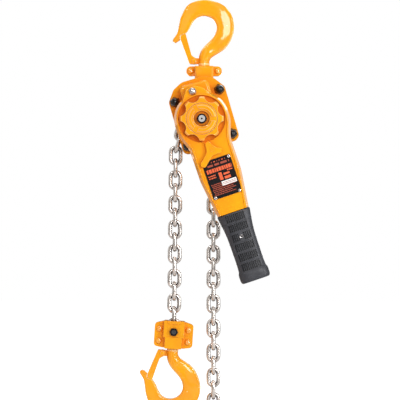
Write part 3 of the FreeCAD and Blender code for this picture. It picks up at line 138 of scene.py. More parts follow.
class Finish(Graph):
    """A material built round one Principled shader, with its nodes in object space."""

    def __init__(self, name, **sockets):
        self.material = bpy.data.materials.new(name)
        self.material.use_nodes = True
        super().__init__(self.material.node_tree)
        self.shader = self.tree.nodes["Principled BSDF"]
        for socket, value in sockets.items():
            self.shader.inputs[socket.replace("_", " ")].default_value = value
        self.place = self.node("ShaderNodeTexCoord").outputs["Object"]

    def noise(self, scale, detail=3.0, stretch=(1, 1, 1)):
        """Noise of so many grains a metre."""
        mapping = self.node("ShaderNodeMapping", Scale=stretch)
        self.link(self.place, mapping.inputs["Vector"])
        noise = self.node("ShaderNodeTexNoise", Scale=scale, Detail=detail)
        self.link(mapping.outputs["Vector"], noise.inputs["Vector"])
        return noise.outputs["Fac"]

    def spread(self, source, **limits):
        spread = self.node("ShaderNodeMapRange", **limits)
        self.link(source, spread.inputs["Value"])
        return spread.outputs["Result"]

    def between(self, source, low, high):
        """A value spread from 0 to 1 between two levels."""
        return self.spread(source, From_Min=low, From_Max=high)

    def shaded(self, reach):
        """How open the surface is, from 0 in a corner to 1, within a reach in millimetres."""
        return self.node("ShaderNodeAmbientOcclusion", samples=8, Distance=reach * MM).outputs["AO"]

    def ridge(self, low, high):
        """How far a densely meshed surface stands out in a ridge, from 0 to 1."""
        return self.between(self.node("ShaderNodeNewGeometry").outputs["Pointiness"], low, high)

    def colour(self, source):
        self.link(source, self.shader.inputs["Base Color"])

    def rough(self, source, low, high):
        self.link(self.spread(source, To_Min=low, To_Max=high), self.shader.inputs["Roughness"])

    def bump(self, source, height, strength):
        """Relief of so many millimetres."""
        bump = self.node("ShaderNodeBump", Strength=strength, Distance=height * MM)
        self.link(source, bump.inputs["Height"])
        self.link(bump.outputs["Normal"], self.shader.inputs["Normal"])


def blend(first, second, share):
    """One colour with a share of another in it."""
    return tuple((1 - share) * a + share * b for a, b in zip(first, second))


def dimmed(colour, share):
    """A colour at a share of its strength."""
    return tuple(share * value for value in colour[:3]) + (1,)


# How far the shading looks
CORNER_REACH, SEAM_REACH, SLOT_REACH = 20.0, 1.8, 4.0
# The enamel in the open, the deep enamel of its painted shade where the form turns in, the pale enamel of its
# painted highlight along rounded edges, and the brown of its painted shade in seams
ENAMEL = (0.975, 0.425, 0.010, 1)
DEEP_SHADE_ENAMEL = (0.850, 0.220, 0.013, 1)
EDGE_HIGHLIGHT_ENAMEL = (1.000, 0.720, 0.300, 1)
SEAM_SHADE = (0.300, 0.050, 0.008, 1)


def paint(name, grain, colour=ENAMEL, ridge_highlight=None, gloss=1.45):
    """Glossy enamel with painted shade, deeper where the form turns in and brown in its seams, a painted highlight
    along ridges when given, and a faint orange peel.
    """
    finish = Finish(name, Coat_Weight=1.0, Coat_Roughness=0.04, Coat_IOR=gloss, Specular_IOR_Level=0.0)
    cloud = finish.between(finish.noise(24.0), low=0.35, high=0.7)
    mottled = finish.mix(cloud, colour, blend(colour, DEEP_SHADE_ENAMEL, share=0.4))
    # Painted shade: deep orange enamel where the form turns in, fading out within CORNER_REACH
    shade_mask = finish.between(finish.shaded(CORNER_REACH), low=0.15, high=0.90)
    body = finish.mix(shade_mask, DEEP_SHADE_ENAMEL, mottled)
    # Painted highlight: pale enamel along the ridges of a densely meshed surface
    if ridge_highlight:
        body = finish.mix(finish.ridge(*ridge_highlight), body, EDGE_HIGHLIGHT_ENAMEL)
    # Painted shade: brown in seams and creases, within SEAM_REACH
    seam_shade_mask = finish.between(finish.shaded(SEAM_REACH), low=0.15, high=0.65)
    finish.colour(finish.mix(seam_shade_mask, SEAM_SHADE, body))
    finish.rough(finish.noise(180.0), low=0.30, high=0.46)
    finish.bump(finish.noise(grain, detail=2.0), height=0.05, strength=0.35)
    return finish.material


def metal(name, colour, dark, rough, grain, stretch=(1, 1, 1), shade=6.0, crowded=0.20, relief=0.4):
    """Bare or plated metal, with painted shade that darkens it where it is crowded."""
    finish = Finish(name, Metallic=1.0)
    # Painted shade: the metal turns to its dark colour where it is crowded, within a reach of shade millimetres
    shade_mask = finish.between(finish.shaded(shade), low=crowded, high=0.92)
    patch = finish.between(finish.noise(60.0, detail=4.0), low=0.35, high=0.75)
    patched = finish.mix(patch, colour, dimmed(colour, share=0.80))
    finish.colour(finish.mix(shade_mask, dark, patched))
    finish.rough(finish.noise(grain, detail=4.0, stretch=stretch), *rough)
    finish.bump(finish.noise(grain, stretch=stretch), height=0.03, strength=relief)
    return finish.material


def black_enamel(name, roughness):
    """Near black with a hard gloss and fine dust."""
    finish = Finish(name, Coat_Weight=1.0, Coat_Roughness=0.02, Coat_IOR=1.38, Specular_IOR_Level=0.1)
    dust = finish.between(finish.noise(420.0, detail=4.0), low=0.55, high=0.85)
    finish.colour(finish.mix(dust, (0.006, 0.006, 0.007, 1), (0.020, 0.019, 0.019, 1)))
    finish.rough(finish.noise(300.0), low=roughness, high=roughness + 0.1)
    finish.bump(finish.noise(900.0, detail=2.0), height=0.02, strength=0.3)
    return finish.material


def rubber(name):
    """Moulded rubber: charcoal with a dusty bloom, and painted shade that turns it black in its slots."""
    finish = Finish(name, Specular_IOR_Level=0.5)
    dust = finish.between(finish.noise(70.0, detail=5.0), low=0.45, high=0.8)
    body = finish.mix(dust, (0.030, 0.032, 0.040, 1), (0.050, 0.053, 0.064, 1))
    # Painted shade: near black in the slots
    shade_mask = finish.between(finish.shaded(SLOT_REACH), low=0.25, high=0.80)
    finish.colour(finish.mix(shade_mask, (0.002, 0.002, 0.003, 1), body))
    finish.rough(finish.noise(240.0), low=0.36, high=0.52)
    finish.bump(finish.noise(1600.0), height=0.04, strength=0.5)
    return finish.material


def print_ink(name, colour):
    """Printed ink that is a little thin in places."""
    finish = Finish(name, Roughness=0.45)
    thin = finish.between(finish.noise(500.0), low=0.3, high=0.7)
    finish.colour(finish.mix(thin, colour, dimmed(colour, share=0.85)))
    return finish.material


YELLOW = paint("yellow_enamel", grain=900.0)
FORGED = paint("forging_enamel", grain=500.0)
RIVET = paint("rivet_enamel", grain=900.0, gloss=2.0)
# The hooks have a painted highlight along the ridges of their rims
HOOK = paint("hook_enamel", grain=500.0, ridge_highlight=(0.508, 0.520))
# The pale enamel of the painted edge highlight
EDGE_HIGHLIGHT = paint("edge_highlight_enamel", grain=900.0, colour=EDGE_HIGHLIGHT_ENAMEL)
# The second colour of each metal is its painted shade
NICKEL = metal(
    "chain_nickel", (0.86, 0.80, 0.75, 1), (0.09, 0.045, 0.035, 1),
    rough=(0.14, 0.24), grain=260.0, shade=9.0, crowded=0.42, relief=0.2,
)
ZINC = metal(
    "bright_zinc", (0.60, 0.57, 0.55, 1), (0.12, 0.08, 0.06, 1),
    rough=(0.12, 0.20), grain=400.0, relief=0.05,
)
MACHINED = metal(
    "turned_steel", (0.42, 0.41, 0.40, 1), (0.16, 0.15, 0.14, 1),
    rough=(0.30, 0.45), grain=500.0, stretch=(1, 14, 1),
)
BRONZE = metal(
    "bearing_bronze", (0.60, 0.42, 0.20, 1), (0.25, 0.14, 0.06, 1), rough=(0.25, 0.40), grain=300.0,
)
SPRING = metal(
    "spring_steel", (0.10, 0.10, 0.11, 1), (0.02, 0.02, 0.02, 1), rough=(0.25, 0.35), grain=300.0,
)
BLACK = black_enamel("black_enamel", roughness=0.08)
PLATE = black_enamel("plate_enamel", roughness=0.25)
RUBBER = rubber("grip_rubber")
LINING = rubber("friction_lining")
ORANGE_INK = print_ink("orange_ink", (0.86, 0.12, 0.022, 1))
DIM_INK = print_ink("dim_orange_ink", (0.40, 0.055, 0.015, 1))
WHITE_INK = print_ink("white_ink", (0.90, 0.90, 0.88, 1))

# The paints whose rounded edges get a painted highlight in pale enamel
PAINTS = (YELLOW, FORGED)
SLOT_FINISH = {
    "steel_forged": FORGED,
    "housing_paint": YELLOW,
    "wheel_paint": YELLOW,
    "steel_black": BLACK,
    "steel_zinc": ZINC,
    "chain_nickel": NICKEL,
    "steel_machined": MACHINED,
    "friction_lining": LINING,
    "grip_rubber": RUBBER,
    "plate_black": PLATE,
    "spring_steel": SPRING,
    "bearing_bronze": BRONZE,
}
# The nodes whose finish differs from that of their slot
NODE_FINISH = {
    "top_hook": HOOK,
    "bottom_hook": HOOK,
    "top_yoke_rivets": RIVET,
    "bottom_yoke_rivets": RIVET,
    "plate_rivets": ZINC,
    "chain_pin": SPRING,
}


def finish_of(node):
    return NODE_FINISH.get(node) or SLOT_FINISH[SLOT_OF[node]]


for name, node in nodes.items():
    node.data.materials.clear()
    node.data.materials.append(finish_of(name))


# Pieces

# An edge whose bend lies between these two is part of a curved wall; one that bends more is sharp.
FLATTEST_BEND, SHARPEST_BEND = 4.0, 34.0
# Faces that bend less than this are one
LEVEL_BEND = 0.6
# An edge that bends more than this stays when its form is subdivided
CREASE_BEND = 40.0
# The share of its length that an edge parallel to Y has along Y
PARALLEL_SHARE = 0.9999
# Corners nearer to each other than this are one
WELD, FINE_WELD = 0.01, 0.002
# How far into the flats beside it a bend is rounded, in percent, and in how many steps walls and edges are
WALL_SHARE, WALL_SEGMENTS, EDGE_SEGMENTS = 46, 4, 3
# How far round a hook's tip no edge stays sharp
TIP_REACH = 9.0

ROUND_WALLED = (
    "lever_front_shell", "lever_rear_shell", "brake_cover", "gear_case", "front_side_plate",
    "rear_side_plate", "hand_wheel", "selector_lever",
)


def piece(name, form, body, slot, material, *replaced):
    """An object from a bmesh in metres, riding on a body."""
    mesh = bpy.data.meshes.new(name)
    bmesh.ops.recalc_face_normals(form, faces=form.faces)
    form.to_mesh(mesh)
    form.free()
    for face in mesh.polygons:
        face.use_smooth = True
    mesh.set_sharp_from_angle(angle=math.radians(SHARPEST_BEND))
    mesh.materials.append(material)
    # Enamel gets the painted edge highlight as its second material
    if material in PAINTS:
        mesh.materials.append(EDGE_HIGHLIGHT)
    made = bpy.data.objects.new(name, mesh)
    bpy.context.scene.collection.objects.link(made)
    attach(made, body)
    if replaced:
        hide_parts(*replaced)
    return made


def stand_for(node, form):
    """The piece that stands for one node, with its body and finish."""
    return piece(node + "_shown", form, BODY_OF[node], SLOT_OF[node], finish_of(node), node)


def joined(node):
    """A node's own form with its faces joined where they meet."""
    form = bmesh.new()
    form.from_mesh(nodes[node].data)
    bmesh.ops.remove_doubles(form, verts=form.verts, dist=WELD * MM)
    return form


def welded(node):
    """A node's own form with its faces joined and its flat faces whole."""
    form = joined(node)
    bmesh.ops.dissolve_limit(
        form, angle_limit=math.radians(LEVEL_BEND), verts=form.verts, edges=form.edges,
    )
    return form


def bend(edge):
    """The angle between an edge's two faces; nought where it doesn't have two."""
    return math.degrees(edge.calc_face_angle(0.0)) if len(edge.link_faces) == 2 else 0.0


def bevelled(form, edges, **settings):
    bmesh.ops.bevel(form, geom=edges, profile=0.5, affect="EDGES", clamp_overlap=True, **settings)


def round_walls(form):
    """The flats of each curved wall along Y turned into one round sweep."""
    bends = []
    for edge in form.edges:
        run = edge.verts[1].co - edge.verts[0].co
        parallel = abs(run.y) > PARALLEL_SHARE * run.length
        if parallel and FLATTEST_BEND < bend(edge) < SHARPEST_BEND:
            bends.append(edge)
    bevelled(form, bends, offset=WALL_SHARE, offset_type="PERCENT", segments=WALL_SEGMENTS, material=-1)


def eased(node, width, form=None):
    """The node with its sharp edges rounded over by a width; on enamel the rounding gets the painted edge
    highlight.
    """
    form = form or welded(node)
    if node in ROUND_WALLED:
        round_walls(form)
    sharp = [edge for edge in form.edges if bend(edge) > SHARPEST_BEND]
    # On enamel the rounded faces take the painted edge highlight
    bevelled(
        form, sharp, offset=width * MM, offset_type="OFFSET", segments=EDGE_SEGMENTS,
        material=1 if finish_of(node) in PAINTS else -1,
    )
    bmesh.ops.remove_doubles(form, verts=form.verts, dist=FINE_WELD * MM)
    made = stand_for(node, form)
    made.modifiers.new("even_normals", "WEIGHTED_NORMAL").keep_sharp = True


def smoothed(form):
    """The form subdivided to a smooth surface; its sharp edges stay, but not round its tip to the left."""
    crease = form.edges.layers.float.new("crease_edge")
    tip = min(form.verts, key=lambda vert: vert.co.x).co
    for edge in form.edges:
        if bend(edge) > CREASE_BEND:
            edge[crease] = 1.0 if (edge.verts[0].co - tip).length > TIP_REACH * MM else 0.0
    mesh = bpy.data.meshes.new("rough_form")
    form.to_mesh(mesh)
    form.free()
    rough = bpy.data.objects.new("rough_form", mesh)
    bpy.context.scene.collection.objects.link(rough)
    rough.modifiers.new("smooth", "SUBSURF").levels = 2
    fine = bmesh.new()
    fine.from_object(rough, bpy.context.evaluated_depsgraph_get())
    bpy.data.objects.remove(rough)
    bpy.data.meshes.remove(mesh)
    return fine


def solids_of(node):
    """The corner points of each separate solid of a node, as arrays."""
    form = joined(node)
    met, found = set(), []
    for start in form.verts:
        if start in met:
            continue
        met.add(start)
        group, waiting = [], [start]
        while waiting:
            vert = waiting.pop()
            group.append(vert.co[:])
            for edge in vert.link_edges:
                other = edge.other_vert(vert)
                if other not in met:
                    met.add(other)
                    waiting.append(other)
        found.append(numpy.array(group))
    form.free()
    return found


def bridged(form, rings, closed=False):
    """Quads between rings of points with the same count; the ends are capped unless the run is closed."""
    made = [[form.verts.new(point) for point in ring] for ring in rings]
    count = len(made[0])
    runs = list(zip(made, made[1:])) + ([(made[-1], made[0])] if closed else [])
    for here, there in runs:
        for k in range(count):
            j = (k + 1) % count
            form.faces.new((here[k], here[j], there[j], there[k]))
    if not closed:
        form.faces.new(made[0])
        form.faces.new(made[-1])


# Chain and spring

WIRE_SIDES = 12
BOW_STEPS = 6
# Wire radius, half the outer width and half the inner length
LINK = (3.55, 12.0, 10.55)
STOP_RING = (4.5, 15.0, 12.0)
CHAIN = {
    "sheave_links": LINK,
    "load_chain_lead": LINK,
    "load_chain": LINK,
    "slack_chain_lead": LINK,
    "slack_chain": LINK,
    "chain_end_stop": STOP_RING,
}


def link_rings(wire, half_width, half_inner, place):
    """The rings of a round link with its length along X and its width along Z."""
    bow = half_width - wire
    ends = half_inner + wire - bow
    rings = []
    for side in (1, -1):
        for step in range(2 * BOW_STEPS + 1):
            angle = math.pi / 2 - math.pi * step / (2 * BOW_STEPS)
            outward = Vector((math.cos(angle) * side, 0, math.sin(angle) * side))
            centre = Vector((ends * side, 0, 0)) + outward * bow
            ring = []
            for k in range(WIRE_SIDES):
                turn = 2 * math.pi * k / WIRE_SIDES
                offset = outward * math.cos(turn) + Vector((0, 1, 0)) * math.sin(turn)
                ring.append(place @ (centre + offset * wire))
            rings.append(ring)
    return rings


def link_place(points):
    """Where a link stands, from the spread of its solid's points."""
    middle = (points.max(0) + points.min(0)) / 2
    axes = numpy.linalg.eigh(numpy.cov((points - middle).T))[1]
    along, wide = Vector(axes[:, 2]), Vector(axes[:, 1])
    thin = wide.cross(along)
    turn = Matrix((along, thin, wide)).transposed().to_4x4()
    return Matrix.Translation(Vector(middle)) @ turn @ Matrix.Scale(MM, 4)


def build_chain():
    """Each link as a smooth tube where its solid stands."""
    for node, size in CHAIN.items():
        form = bmesh.new()
        for points in solids_of(node):
            bridged(form, link_rings(*size, link_place(points)), closed=True)
        stand_for(node, form)


def build_free_spring():
    """The spring between the wheel and the nut on the shaft, on a mesh of its own; in the hoist the wheel closes
    it up as it is pulled out.
    """
    form = bmesh.new()
    form.from_mesh(nodes["free_spring"].data)
    spring = stand_for("free_spring", form)
    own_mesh(spring)


# Turned and six-sided pieces; their profiles are pairs of radius and depth

# The radius of the last ring of a dome
CROWN_RADIUS = 0.15


def turned(form, profile, place, sides=48, flats=0.0):
    """Rings about Y from a profile, cut to a hexagon where flats is half its width."""
    rings = []
    for radius, depth in profile:
        ring = []
        for k in range(sides):
            degrees = 360.0 * k / sides
            reach = radius
            if flats:
                reach = min(radius, flats / math.cos(math.radians((degrees + 30) % 60 - 30)))
            angle = math.radians(degrees)
            ring.append(place @ Vector((reach * math.cos(angle), depth, reach * math.sin(angle))))
        rings.append(ring)
    bridged(form, rings)


def dome(radius, edge, crown, steps=7):
    """Profile points of a dome from its edge forward to its crown."""
    points = []
    for step in range(steps):
        angle = math.pi / 2 * step / (steps - 1)
        reach = max(radius * math.cos(angle), CROWN_RADIUS)
        points.append((reach, edge + (crown - edge) * math.sin(angle)))
    return points


def middles(node, lean=0.0):
    """A place at each solid of a node, at depth nought, leaning as its carrier does."""
    turn = Matrix.Rotation(math.radians(lean), 4, "Y") @ Matrix.Scale(MM, 4)
    for points in solids_of(node):
        middle = (points.max(0) + points.min(0)) / 2
        yield Matrix.Translation(Vector((middle[0], 0, middle[2]))) @ turn


def build_turned(node, profile, lean=0.0, **settings):
    """A turned piece at each solid of a node."""
    form = bmesh.new()
    for place in middles(node, lean):
        turned(form, profile, place, **settings)
    stand_for(node, form)


HOUSING_NUT = [(8.4, -24.5), (8.9, -25.1), (8.9, -26.4), (8.0, -27.2), (7.7, -29.6)]
HOUSING_NUT += dome(7.2, -30.6, -36.6)
LEVER_NUT = [(6.0, -78.0), (6.2, -78.4), (6.2, -80.6), (5.6, -81.2)] + dome(5.2, -81.4, -84.5)
RIVET_HEAD = dome(5.4, -5.6, -8.7)
RIVET_TAIL = [(radius, -depth) for radius, depth in reversed(RIVET_HEAD)]
YOKE_RIVET = RIVET_TAIL + [(3.2, 5.5), (3.2, -5.5)] + RIVET_HEAD
PLATE_RIVET_CUP = [(0.9, -79.6), (0.6, -79.1)]
PLATE_RIVET = [(1.5, -72.2), (1.5, -78.9), (2.7, -79.0)] + dome(2.6, -79.1, -79.8)[:-2] + PLATE_RIVET_CUP
# A thin black disc of painted shade where the shaft's centre drilling is
SHAFT_CENTRE_SHADE = [(1.5, -96.9), (1.5, -97.05), (0.8, -97.1)]


def build_fasteners():
    build_turned("dome_nuts", HOUSING_NUT, HOUSING_LEAN, flats=8.2)
    build_turned("lever_dome_nut", LEVER_NUT, LEVER_LEAN, flats=5.8)
    build_turned("top_yoke_rivets", YOKE_RIVET, sides=28)
    build_turned("bottom_yoke_rivets", YOKE_RIVET, sides=28)
    build_turned("plate_rivets", PLATE_RIVET, LEVER_LEAN, sides=20)


def build_shaft_end():
    """A thin black disc on the end of the shaft, painted shade where its centre drilling is."""
    form = bmesh.new()
    turned(form, SHAFT_CENTRE_SHADE, seat_at("lever_swing", 0.0), sides=16)
    piece("shaft_centre_painted_shade", form, "drive_shaft", "steel_black", BLACK)


# Grip

LEVER_SPLIT = -62.0
# Distance from the lever's axis, half width and half depth
GRIP_ROWS = [
    (164.5, 27.0, 13.0), (165.6, 28.2, 14.6), (168.6, 28.5, 15.0), (170.6, 27.9, 14.7),
    (178.0, 26.8, 14.3), (192.0, 24.6, 13.3), (206.0, 23.4, 12.9), (235.0, 23.0, 12.8),
    (263.0, 22.9, 12.8), (266.0, 24.2, 13.6), (268.6, 25.4, 14.7), (272.0, 25.7, 15.0),
    (280.0, 25.6, 15.0), (283.4, 24.6, 13.9), (285.0, 22.6, 12.2),
]
GRIP_SQUARE = 0.6
FLANK_SHARE = 0.6
SLOT_ROWS, SLOT_COLUMNS = 6, 10
FIRST_ROW, ROW_PITCH, SLOT_LENGTH = 173.8, 17.0, 12.8
SLOT_PITCH, SLOT_WIDTH, SLOT_DEPTH = 3.3, 1.9, 2.4
# Shares of the slot's length and width from its middle, with what is sunk there
SLOT_ENDS = ((-0.5, False), (-0.47, True), (0.47, True), (0.5, False))
SLOT_SIDES = ((-0.62, False), (-0.42, True), (0.42, True), (0.62, False))
# Places across the face outside the slots, as shares of its half width
SHOULDER = (0.78, 0.86, 0.93, 0.975)
RIB_HEIGHT = 0.45
RIB = ((-0.9, 0.0), (-0.4, RIB_HEIGHT), (0.4, RIB_HEIGHT), (0.9, 0.0))
CLEAR_OF_SLOT, CLEAR_OF_RIB = 0.4, 1.2
PIN_ROW, PIN_REACH = 2, 207.8
PIN_SHANK = [(2.4, -49.9), (2.4, -74.1)]
PIN_END = [(3.1, -74.2), (3.2, -75.0), (2.7, -75.5), (2.2, -75.4), (1.8, -74.6), (1.6, -72.0)]


def grip_size(reach):
    """Half width and half depth of the grip at a distance from the lever's axis."""
    for (start, wide, deep), (end, next_wide, next_deep) in zip(GRIP_ROWS, GRIP_ROWS[1:]):
        if reach <= end:
            share = (reach - start) / (end - start)
            return wide + (next_wide - wide) * share, deep + (next_deep - deep) * share
    return GRIP_ROWS[-1][1:]


def grip_ring(reach, row, raised):
    """One ring round the grip; a row of slots has their floors sunk, and the row with the pin skips two."""
    wide, deep = (value + raised for value in grip_size(reach))
    across = []
    for column in range(SLOT_COLUMNS):
        centre = SLOT_PITCH * (column - (SLOT_COLUMNS - 1) / 2)
        open_slot = row is not None and not (row == PIN_ROW and abs(centre) < SLOT_PITCH)
        for step, low in SLOT_SIDES:
            across.append(((centre + step * SLOT_WIDTH) / wide, low and open_slot))
    left = [(-share, False) for share in reversed(SHOULDER)]
    profile = left + across + [(share, False) for share in SHOULDER]
    ring = []
    for face in (-1, 1):
        for x, low in profile:
            x *= -face
            height = (1 - abs(x) ** (2 / GRIP_SQUARE)) ** (GRIP_SQUARE / 2)
            depth = deep * height - (SLOT_DEPTH if low else 0.0)
            ring.append(Vector((x * wide, LEVER_SPLIT + face * depth, -reach)))
        for share in (-0.5, 0.0, 0.5):
            depth = LEVER_SPLIT + face * share * deep * FLANK_SHARE
            ring.append(Vector((-face * wide, depth, -reach)))
    return ring


def grip_levels():
    """The rings along the grip: distance from the axis, row of slots sunk there or None, height raised."""
    slots, ribs = [], []
    for row in range(SLOT_ROWS):
        middle = FIRST_ROW + ROW_PITCH * row
        slots += [(middle + step * SLOT_LENGTH, row if low else None, 0.0) for step, low in SLOT_ENDS]
        if row < SLOT_ROWS - 1:
            middle = FIRST_ROW + ROW_PITCH * (row + 0.5)
            ribs += [(middle + step, None, height) for step, height in RIB]
    each = len(SLOT_ENDS)
    spans = [
        (start[0] - CLEAR_OF_SLOT, end[0] + CLEAR_OF_SLOT)
        for start, end in zip(slots[::each], slots[each - 1::each])
    ]
    plain = [
        (reach, None, 0.0) for reach, wide, deep in GRIP_ROWS
        if not any(low < reach < high for low, high in spans)
        and not any(abs(rib[0] - reach) < CLEAR_OF_RIB for rib in ribs)
    ]
    return sorted(slots + ribs + plain, key=lambda level: level[0])


def build_grip():
    form = bmesh.new()
    rings = [grip_ring(*level) for level in grip_levels()]
    bridged(form, [[LEVER @ point for point in ring] for ring in rings])
    stand_for("grip", form)

    form = bmesh.new()
    back = [(radius, 2 * LEVER_SPLIT - depth) for radius, depth in reversed(PIN_END)]
    turned(form, back + PIN_SHANK + PIN_END, LEVER @ Matrix.Translation((0, 0, -PIN_REACH)), sides=24)
    stand_for("grip_pin", form)


# Name plate, in the lever's own place

PLATE_FACE = -79.0
# How far a layer of print stands out of the plate's face, and how far it reaches into it
PRINT_LIFT, PRINT_SINK = 0.06, 0.02
INKS = {"orange": ORANGE_INK, "dim": DIM_INK, "white": WHITE_INK, "rules": DIM_INK}
# Ink, left, right, foot, height, widths of the dashes and the gap between them
PRINT_ROWS = [
    ("orange", -9.0, 18.0, -75.4, 1.6, (1.2, 2.6, 0.9), 3.0),
    ("dim", -17.0, 21.0, -81.6, 3.4, (9.6, 8.0, 11.0), 2.6),
    ("orange", -21.0, 22.6, -91.8, 6.6, (3.2, 4.4, 3.8, 2.2), 0.8),
    ("orange", -21.0, -8.0, -97.6, 2.0, (2.2, 1.4, 3.0), 0.6),
    ("orange", -21.0, -8.0, -101.4, 2.0, (2.2, 1.4, 3.0), 0.6),
    ("orange", 12.6, 22.4, -95.4, 2.0, (2.8, 2.0, 3.4), 0.6),
]
FINE_PRINT_ENDS = (-4.0, 2.0, 21.0, 15.0, 19.0, 12.0, 17.0)
PRINT_ROWS += [
    ("dim", -21.0 + 0.8 * (k % 3), right, -112.4 - 3.0 * k, 1.5, (2.4, 1.1, 3.3, 1.7, 2.9), 0.55)
    for k, right in enumerate(FINE_PRINT_ENDS)
]
# Ink, left, foot, right, head and how many layers of print high
PRINT_BARS = [
    ("orange", -3.2, -107.6, 2.4, -94.6, 1),
    ("orange", 5.0, -100.6, 15.6, -97.4, 1),
    ("orange", 5.0, -107.6, 15.6, -103.2, 1),
    ("white", -2.6, -117.4, 23.2, -110.0, 2),
    ("rules", -1.4, -113.0, 22.0, -112.3, 3),
    ("rules", -1.4, -115.4, 22.0, -114.7, 3),
]


def plate_bar(form, left, low, right, high, layers=1):
    """A thin printed bar on the face of the name plate."""
    rings = []
    for depth in (PLATE_FACE + PRINT_SINK, PLATE_FACE - layers * PRINT_LIFT):
        ring = [(left, low), (right, low), (right, high), (left, high)]
        rings.append([LEVER @ Vector((x, depth, z)) for x, z in ring])
    bridged(form, rings)


def dashes(form, left, right, low, height, widths, gap):
    """A row of dashes of differing width, the widths used over and over."""
    x, k = left, 0
    while x < right:
        width = widths[k % len(widths)]
        plate_bar(form, x, low, min(x + width, right), low + height)
        x += width + gap
        k += 1


def build_plate_print():
    """Rows of plain dashes where such a plate has its print, and a white strip with two dark rules."""
    forms = {ink: bmesh.new() for ink in INKS}
    for ink, *row in PRINT_ROWS:
        dashes(forms[ink], *row)
    for ink, *bar in PRINT_BARS:
        plate_bar(forms[ink], *bar)
    for ink, form in forms.items():
        piece("plate_print_" + ink, form, "lever", "plate_black", INKS[ink])


# Hooks and latches

SWIVEL_LEAN = 3.8
BOWL_DEPTH = 50.0
# Where the shank's round section ends and the bowl's flat one is reached, from the collar
SHANK_REACH, BOWL_REACH = 30.0, 44.0
FACE_FLATNESS, FACE_DRAFT = 0.30, 0.24
# How far two triangles may bend, and their four sides be out of square, to become one face
QUAD_BEND, QUAD_SKEW = 25.0, 70.0
# How near the points lie that give a section's depth, and how wide and far its ray from the bowl looks
SECTION_REACH, RAY_WIDTH, RAY_REACH = 8.0, 6.0, 40.0
LEAST_SPAN = 10.0
LATCH_REACH, LATCH_EDGE, LATCH_END = 48.9, 43.1, 1.2
LATCH_EASE = 0.35


def build_hook(node, collar, bowl):
    """The forging, whose broad faces are flat, thin out away from the bowl and meet the rim in a ridge."""
    form = joined(node)
    bmesh.ops.join_triangles(
        form, faces=form.faces,
        angle_face_threshold=math.radians(QUAD_BEND), angle_shape_threshold=math.radians(QUAD_SKEW),
    )
    points = numpy.array([vert.co[:] for vert in form.verts])
    aside, up = points[:, 0] - bowl.x, points[:, 2] - bowl.z
    reach, bearing = numpy.hypot(aside, up), numpy.arctan2(aside, up)
    for k, vert in enumerate(form.verts):
        apart = numpy.hypot(aside - aside[k], up - up[k])
        deep = abs(points[apart < SECTION_REACH * MM, 1]).max()
        turn = abs((bearing - bearing[k] + math.pi) % (2 * math.pi) - math.pi)
        ray = reach[(turn < math.radians(RAY_WIDTH)) & (apart < RAY_REACH * MM)]
        outward = (reach[k] - ray.min()) / max(ray.max() - ray.min(), LEAST_SPAN * MM)
        share = (abs(vert.co.z - collar) / MM - SHANK_REACH) / (BOWL_REACH - SHANK_REACH)
        share = min(max(share, 0.0), 1.0)
        power = 1 + (FACE_FLATNESS - 1) * share
        level = deep * (abs(vert.co.y) / deep) ** power * (1 - FACE_DRAFT * share * outward)
        vert.co.y = math.copysign(level, vert.co.y)
    stand_for(node, smoothed(form))


def build_latch(node, joint, up):
    """The sheet latch; its end follows the hook's notch, which is round about the latch's pin."""
    form = welded(node)
    pivot = Vector(joints[joint]["pos_m"])
    across = Vector((up.z, 0, -up.x))
    for vert in form.verts:
        place = (vert.co - pivot) / MM
        height, aside = place.dot(up), place.dot(across)
        if height > LATCH_EDGE - LATCH_END:
            vert.co += up * (math.sqrt(LATCH_REACH**2 - aside**2) - LATCH_EDGE) * MM
    eased(node, LATCH_EASE, form)


def build_hooks():
    lean = math.radians(SWIVEL_LEAN)
    top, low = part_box("top_hook"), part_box("bottom_hook")
    build_hook("top_hook", top[0].z, Vector((0, 0, top[1].z - BOWL_DEPTH * MM)))
    foot = Vector(joints["bottom_hook_swivel"]["pos_m"])
    down = Vector((-math.sin(lean), 0, -math.cos(lean)))
    bowl = foot + down * ((foot.z - low[0].z) - BOWL_DEPTH * MM) / math.cos(lean)
    build_hook("bottom_hook", low[1].z, bowl)
    build_latch("top_latch", "top_latch_hinge", Vector((0, 0, 1)))
    build_latch("bottom_latch", "bottom_latch_hinge", down)


# The nodes that keep their own form with their edges rounded over, and by how much
EASED = {
    "top_yoke_front": 1.5,
    "top_yoke_rear": 1.5,
    "bottom_yoke_front": 1.3,
    "bottom_yoke_rear": 1.3,
    "front_side_plate": 0.5,
    "rear_side_plate": 0.5,
    "brake_cover": 0.5,
    "gear_case": 0.7,
    "lever_front_shell": 0.5,
    "lever_rear_shell": 0.8,
    "hand_wheel": 0.35,
    "selector_lever": 0.4,
    "name_plate": 0.2,
    "chain_pin_nut": 0.6,
    "shaft_nut": 0.6,
    "gear_case_nuts": 0.6,
    "top_latch_pin": 0.3,
    "bottom_latch_pin": 0.3,
}

build_chain()
build_free_spring()
build_fasteners()
build_grip()
build_plate_print()
build_shaft_end()
build_hooks()
for name, width in EASED.items():
    eased(name, width)


# Stage, lights and camera

FIELD = 0.6838
VIEW_CENTRE = Vector((-0.0070, 0.0, -0.2932))
LENS, SENSOR = 200.0, 36.0
FLOOR_SIZE, FLOOR_DROP, FLOOR_GLOW = 6.0, 0.06, 0.80
WORLD_LEVEL = 0.31
# The walls that gloss mirrors, from nought square along X or Y to one halfway between
GLOSS_STOPS = [
    (0.00, (0.14, 0.13, 0.13, 1)), (0.10, (0.18, 0.17, 0.17, 1)), (0.20, (0.96, 0.96, 0.96, 1)),
    (0.66, (0.98, 0.96, 0.93, 1)), (0.74, (0.05, 0.025, 0.016, 1)), (1.00, (0.03, 0.015, 0.010, 1)),
]
